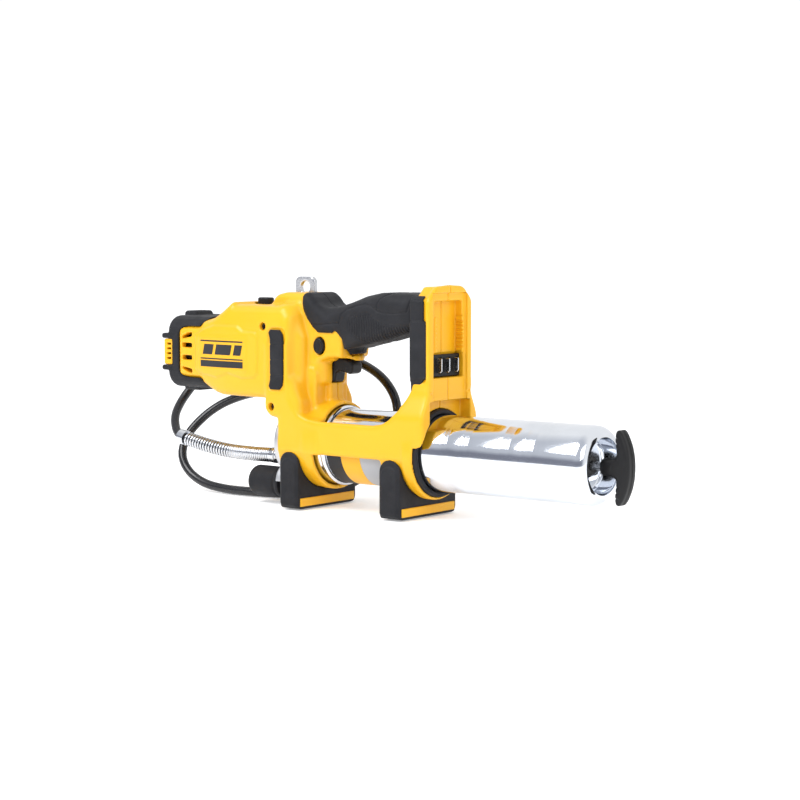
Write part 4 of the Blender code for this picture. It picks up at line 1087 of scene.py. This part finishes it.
def make_screws():
    for (x, z), end, cad in zip(SCREW_PLACES, (10.0, -6.0), ("housing_screw_upper", "housing_screw_lower")):
        field = Field((x - 4, end - 1, z - 4), (x + 4, 32, z + 4), 0.28)
        field.add(rod("h", (27.2, 30.2), (x, z), 2.8, 0.7))
        field.add(rod("h", (end, 28), (x, z), 1.8, 0.3), 0.3)
        turns = np.linspace(0, 2 * np.pi, 49)[:-1]
        reach = 1.45 + 0.35 * np.cos(6 * turns)
        star = [(x + r * math.cos(a), z + r * math.sin(a)) for a, r in zip(turns, reach)]
        recess = slab(star, THROUGH)
        field.cut(lambda x, h, z: np.maximum(recess(x, h, z), 28.6 - h), 0.1)
        piece(moulding(cad + "_head", field, -1), BLUED, "body", "turned_steel", cad)


def make_eyelet():
    """A plate folded from sheet: two thicknesses with an eased edge and a reamed hole."""
    field = Field((-98, -3.2, 151.5), (-75.4, 3.2, 179), 0.35)
    field.add(slab(rounded((-96.4, -77), (153, 177.4), 4.4), 2.0, 0.9))
    field.cut(slab(fan((-86.5, 169.3), 4.75, 0, 345, 24), 10), 0.9)
    groove(field, [(-94, 163.2), (-79, 163.2)], 0.5, 0.35)
    piece(moulding("strap_eyelet", field), STEEL, "body", "turned_steel", "hang_eyelet")


def make_terminals():
    field = Field((43.5, -19.5, 104.5), (48.6, 19.5, 123.5), 0.4)
    field.add(block((44.3, 47.6), (-18.2, 18.2), (105.8, 122.3), 0.7))
    for y in (-15, -5, 5, 15):
        field.cut(block((46.6, 50), (y - 1.6, y + 1.6), (108, 120), 0.3), 0.2)
    piece(moulding("terminal_carrier", field), BLACK, "body", "black_plastic", "terminal_block")
    for i, y in enumerate((-10.0, -0.5, 10.0)):
        field = Field((47.2, y - 1.2, 108), (53.8, y + 1.2, 120.6), 0.2)
        field.add(block((47.9, 53), (y - 0.5, y + 0.5), (109, 119.5), 0.3))
        field.cut(block((52.1, 54), (y - 2, y + 2), (107, 109.9), 0.1), 0.4)
        blade = moulding(f"contact_blade_{i + 1}", field)
        piece(blade, ZINC, "body", "turned_steel", f"terminal_blade_{i + 1}")


def grid_faces(rows, across):
    """Four-sided faces between points that lie row by row, with as many across as given."""
    starts = [j * across + i for j in range(rows - 1) for i in range(across - 1)]
    return np.array([(k, k + 1, k + 1 + across, k + across) for k in starts])


def make_decal(name, outline, shell):
    """A thin printed patch laid on a shell's left side, following its surface."""
    low = np.min(outline, axis=0)
    high = np.max(outline, axis=0)
    counts = np.maximum(np.ceil((high - low) / DECAL_STEP).astype(int), 1)
    lean = (outline[3][0] - outline[0][0]) / max(outline[3][1] - outline[0][1], 1e-6)
    width = outline[1][0] - outline[0][0]
    points = []
    for j in range(counts[1] + 1):
        z = low[1] + (high[1] - low[1]) * j / counts[1]
        for i in range(counts[0] + 1):
            x = outline[0][0] + lean * (z - low[1]) + width * i / counts[0]
            hit, spot, _, _ = shell.ray_cast(Vector((x * MM, -0.06, z * MM)), Vector((0, 1, 0)))
            y = spot.y / MM - PRINT_LIFT if hit else -34
            points.append((x, y, z))
    patch = mesh_object(name, points, grid_faces(counts[1] + 1, counts[0] + 1))
    piece(patch, INK, "body", "black_plastic")


def make_labels():
    """Plain bars where the printed labels are, with no lettering."""
    shell = bpy.data.objects["left_shell"]
    for name, zs in (("rule_top", (126.2, 127.3)), ("rule_low", (112.4, 113.4)), ("bar", (106.4, 111.4))):
        make_decal(f"label_{name}", rectangle((-168.5, -121.6), zs), shell)
    for i, (x, width) in enumerate(((-166, 11), (-152, 17), (-132, 8))):
        slanted = [(x, 116.2), (x + width, 116.2), (x + width + 2, 124.2), (x + 2, 124.2)]
        make_decal(f"label_block_{i + 1}", slanted, shell)


def wrapped_patch(name, xs, look, slot):
    """A printed patch that lies round the barrel, from above its near side downwards."""
    radius = BARREL_R + PRINT_LIFT
    points = []
    start, end = WRAP_DEGREES
    count = round((end - start) / 3)
    for i in range(count + 1):
        angle = math.radians(start + (end - start) * i / count)
        for x in xs:
            points.append((x, -radius * math.cos(angle), AXIS_Z - radius * math.sin(angle)))
    piece(mesh_object(name, points, grid_faces(count + 1, 2)), look, "barrel", slot)


def make_barrel_label():
    """The bands of colour of the label that shows through the housing's window, with no lettering."""
    wrapped_patch("barrel_label_dark", (-43, -29), INK, "black_plastic")
    wrapped_patch("barrel_label_yellow", (-28.9, -10.6), YELLOW, "yellow_housing")
    wrapped_patch("barrel_label_silver", (-10.5, 14), SILVER_LABEL, "black_plastic")


def make_painted_vent_shade():
    """A dark sleeve round the motor that the vents look in on: painted shade, a dark sheet standing in for
    the shade inside the slots.
    """
    wall = [(-200, 24.95), (-179, 24.95), (-179, 25.15), (-200, 25.15)]
    piece(turned("painted_vent_shade", wall, (0, 0, DRIVE_Z)), BLACK, "body", "black_plastic")


def finish_cad_nodes():
    """The works inside keep their CAD shapes, with the material of their slot."""
    for row in frame["record"]["subparts"]:
        thing = bpy.data.objects.get(row["node"])
        if thing:
            finish(thing, LOOKS[row["material_slot"]])
    # The motor can is made dark blued steel in place of its slot's material: painted shade for the dark
    # inside behind the vents.
    finish(bpy.data.objects["motor_can"], BLUED)


make_hose()
make_barrel()
make_t_handle()
make_pump_head()
make_controls()
make_screws()
make_eyelet()
make_terminals()
make_labels()
make_barrel_label()
make_painted_vent_shade()
finish_cad_nodes()

# ---------------------------------------------------------------- stage and camera


def make_stage():
    bpy.ops.mesh.primitive_plane_add(size=60, location=(0, 0, -0.0002))
    floor = bpy.context.object
    floor.name = "studio_floor"
    look, shader = material("studio_paper", (0.97, 0.97, 0.97), 0.9)
    shader.inputs["Emission Color"].default_value = (1, 1, 1, 1)
    shader.inputs["Emission Strength"].default_value = FLOOR_GLOW
    finish(floor, look)
    make_world()


def make_world():
    """A white studio with a grey wall and a low dark flat on the camera's side, for the metal to mirror."""
    world = bpy.data.worlds.new("studio")
    bpy.context.scene.world = world
    world.use_nodes = True
    tree = world.node_tree
    place = node(tree, "ShaderNodeTexCoord")
    parts = node(tree, "ShaderNodeSeparateXYZ")
    tree.links.new(place.outputs["Generated"], parts.inputs["Vector"])
    near = mapped(tree, parts.outputs["Y"], 1, 0, -0.3, 0.1)
    low = mapped(tree, parts.outputs["Z"], 1, 0, 0.2, 0.34)
    front = mapped(tree, parts.outputs["Y"], 1, 0, -0.45, -0.2)
    flat = maths(tree, "MULTIPLY", low, front)
    walls = blended_colour(tree, near, (1, 1, 1), (0.6, 0.62, 0.67))
    shade = blended_colour(tree, flat, (1, 1, 1), (0.25, 0.26, 0.31))
    tree.links.new(walls, shade.node.inputs[6])
    background = tree.nodes["Background"]
    tree.links.new(shade, background.inputs["Color"])
    background.inputs["Strength"].default_value = 1.05


def area_light(name, place, target, size, power):
    lamp = bpy.data.lights.new(name, "AREA")
    lamp.shape = "RECTANGLE"
    lamp.size, lamp.size_y = size
    lamp.energy = power
    thing = bpy.data.objects.new(name, lamp)
    thing.location = place
    thing.rotation_euler = (Vector(target) - Vector(place)).to_track_quat("-Z", "Y").to_euler()
    bpy.context.scene.collection.objects.link(thing)


def make_camera():
    camera = bpy.data.objects.new("camera", bpy.data.cameras.new("camera"))
    camera.data.sensor_width = SENSOR_MM
    camera.data.lens = LENS_MM
    level = math.cos(CAMERA_DROP)
    view = Vector(
        (-math.sin(CAMERA_TURN) * level, math.cos(CAMERA_TURN) * level, -math.sin(CAMERA_DROP))
    )
    camera.location = CAMERA_PLACE
    camera.rotation_euler = view.to_track_quat("-Z", "Y").to_euler()
    bpy.context.scene.collection.objects.link(camera)
    bpy.context.scene.camera = camera


make_stage()
make_camera()
area_light("key", (-0.5, -1.3, 1.5), (0, 0, 0.1), (1.1, 1.1), 30)
area_light("fill", (1.5, -0.7, 0.9), (0, 0, 0.1), (0.9, 0.9), 9)
bpy.context.scene.view_settings.view_transform = "Standard"
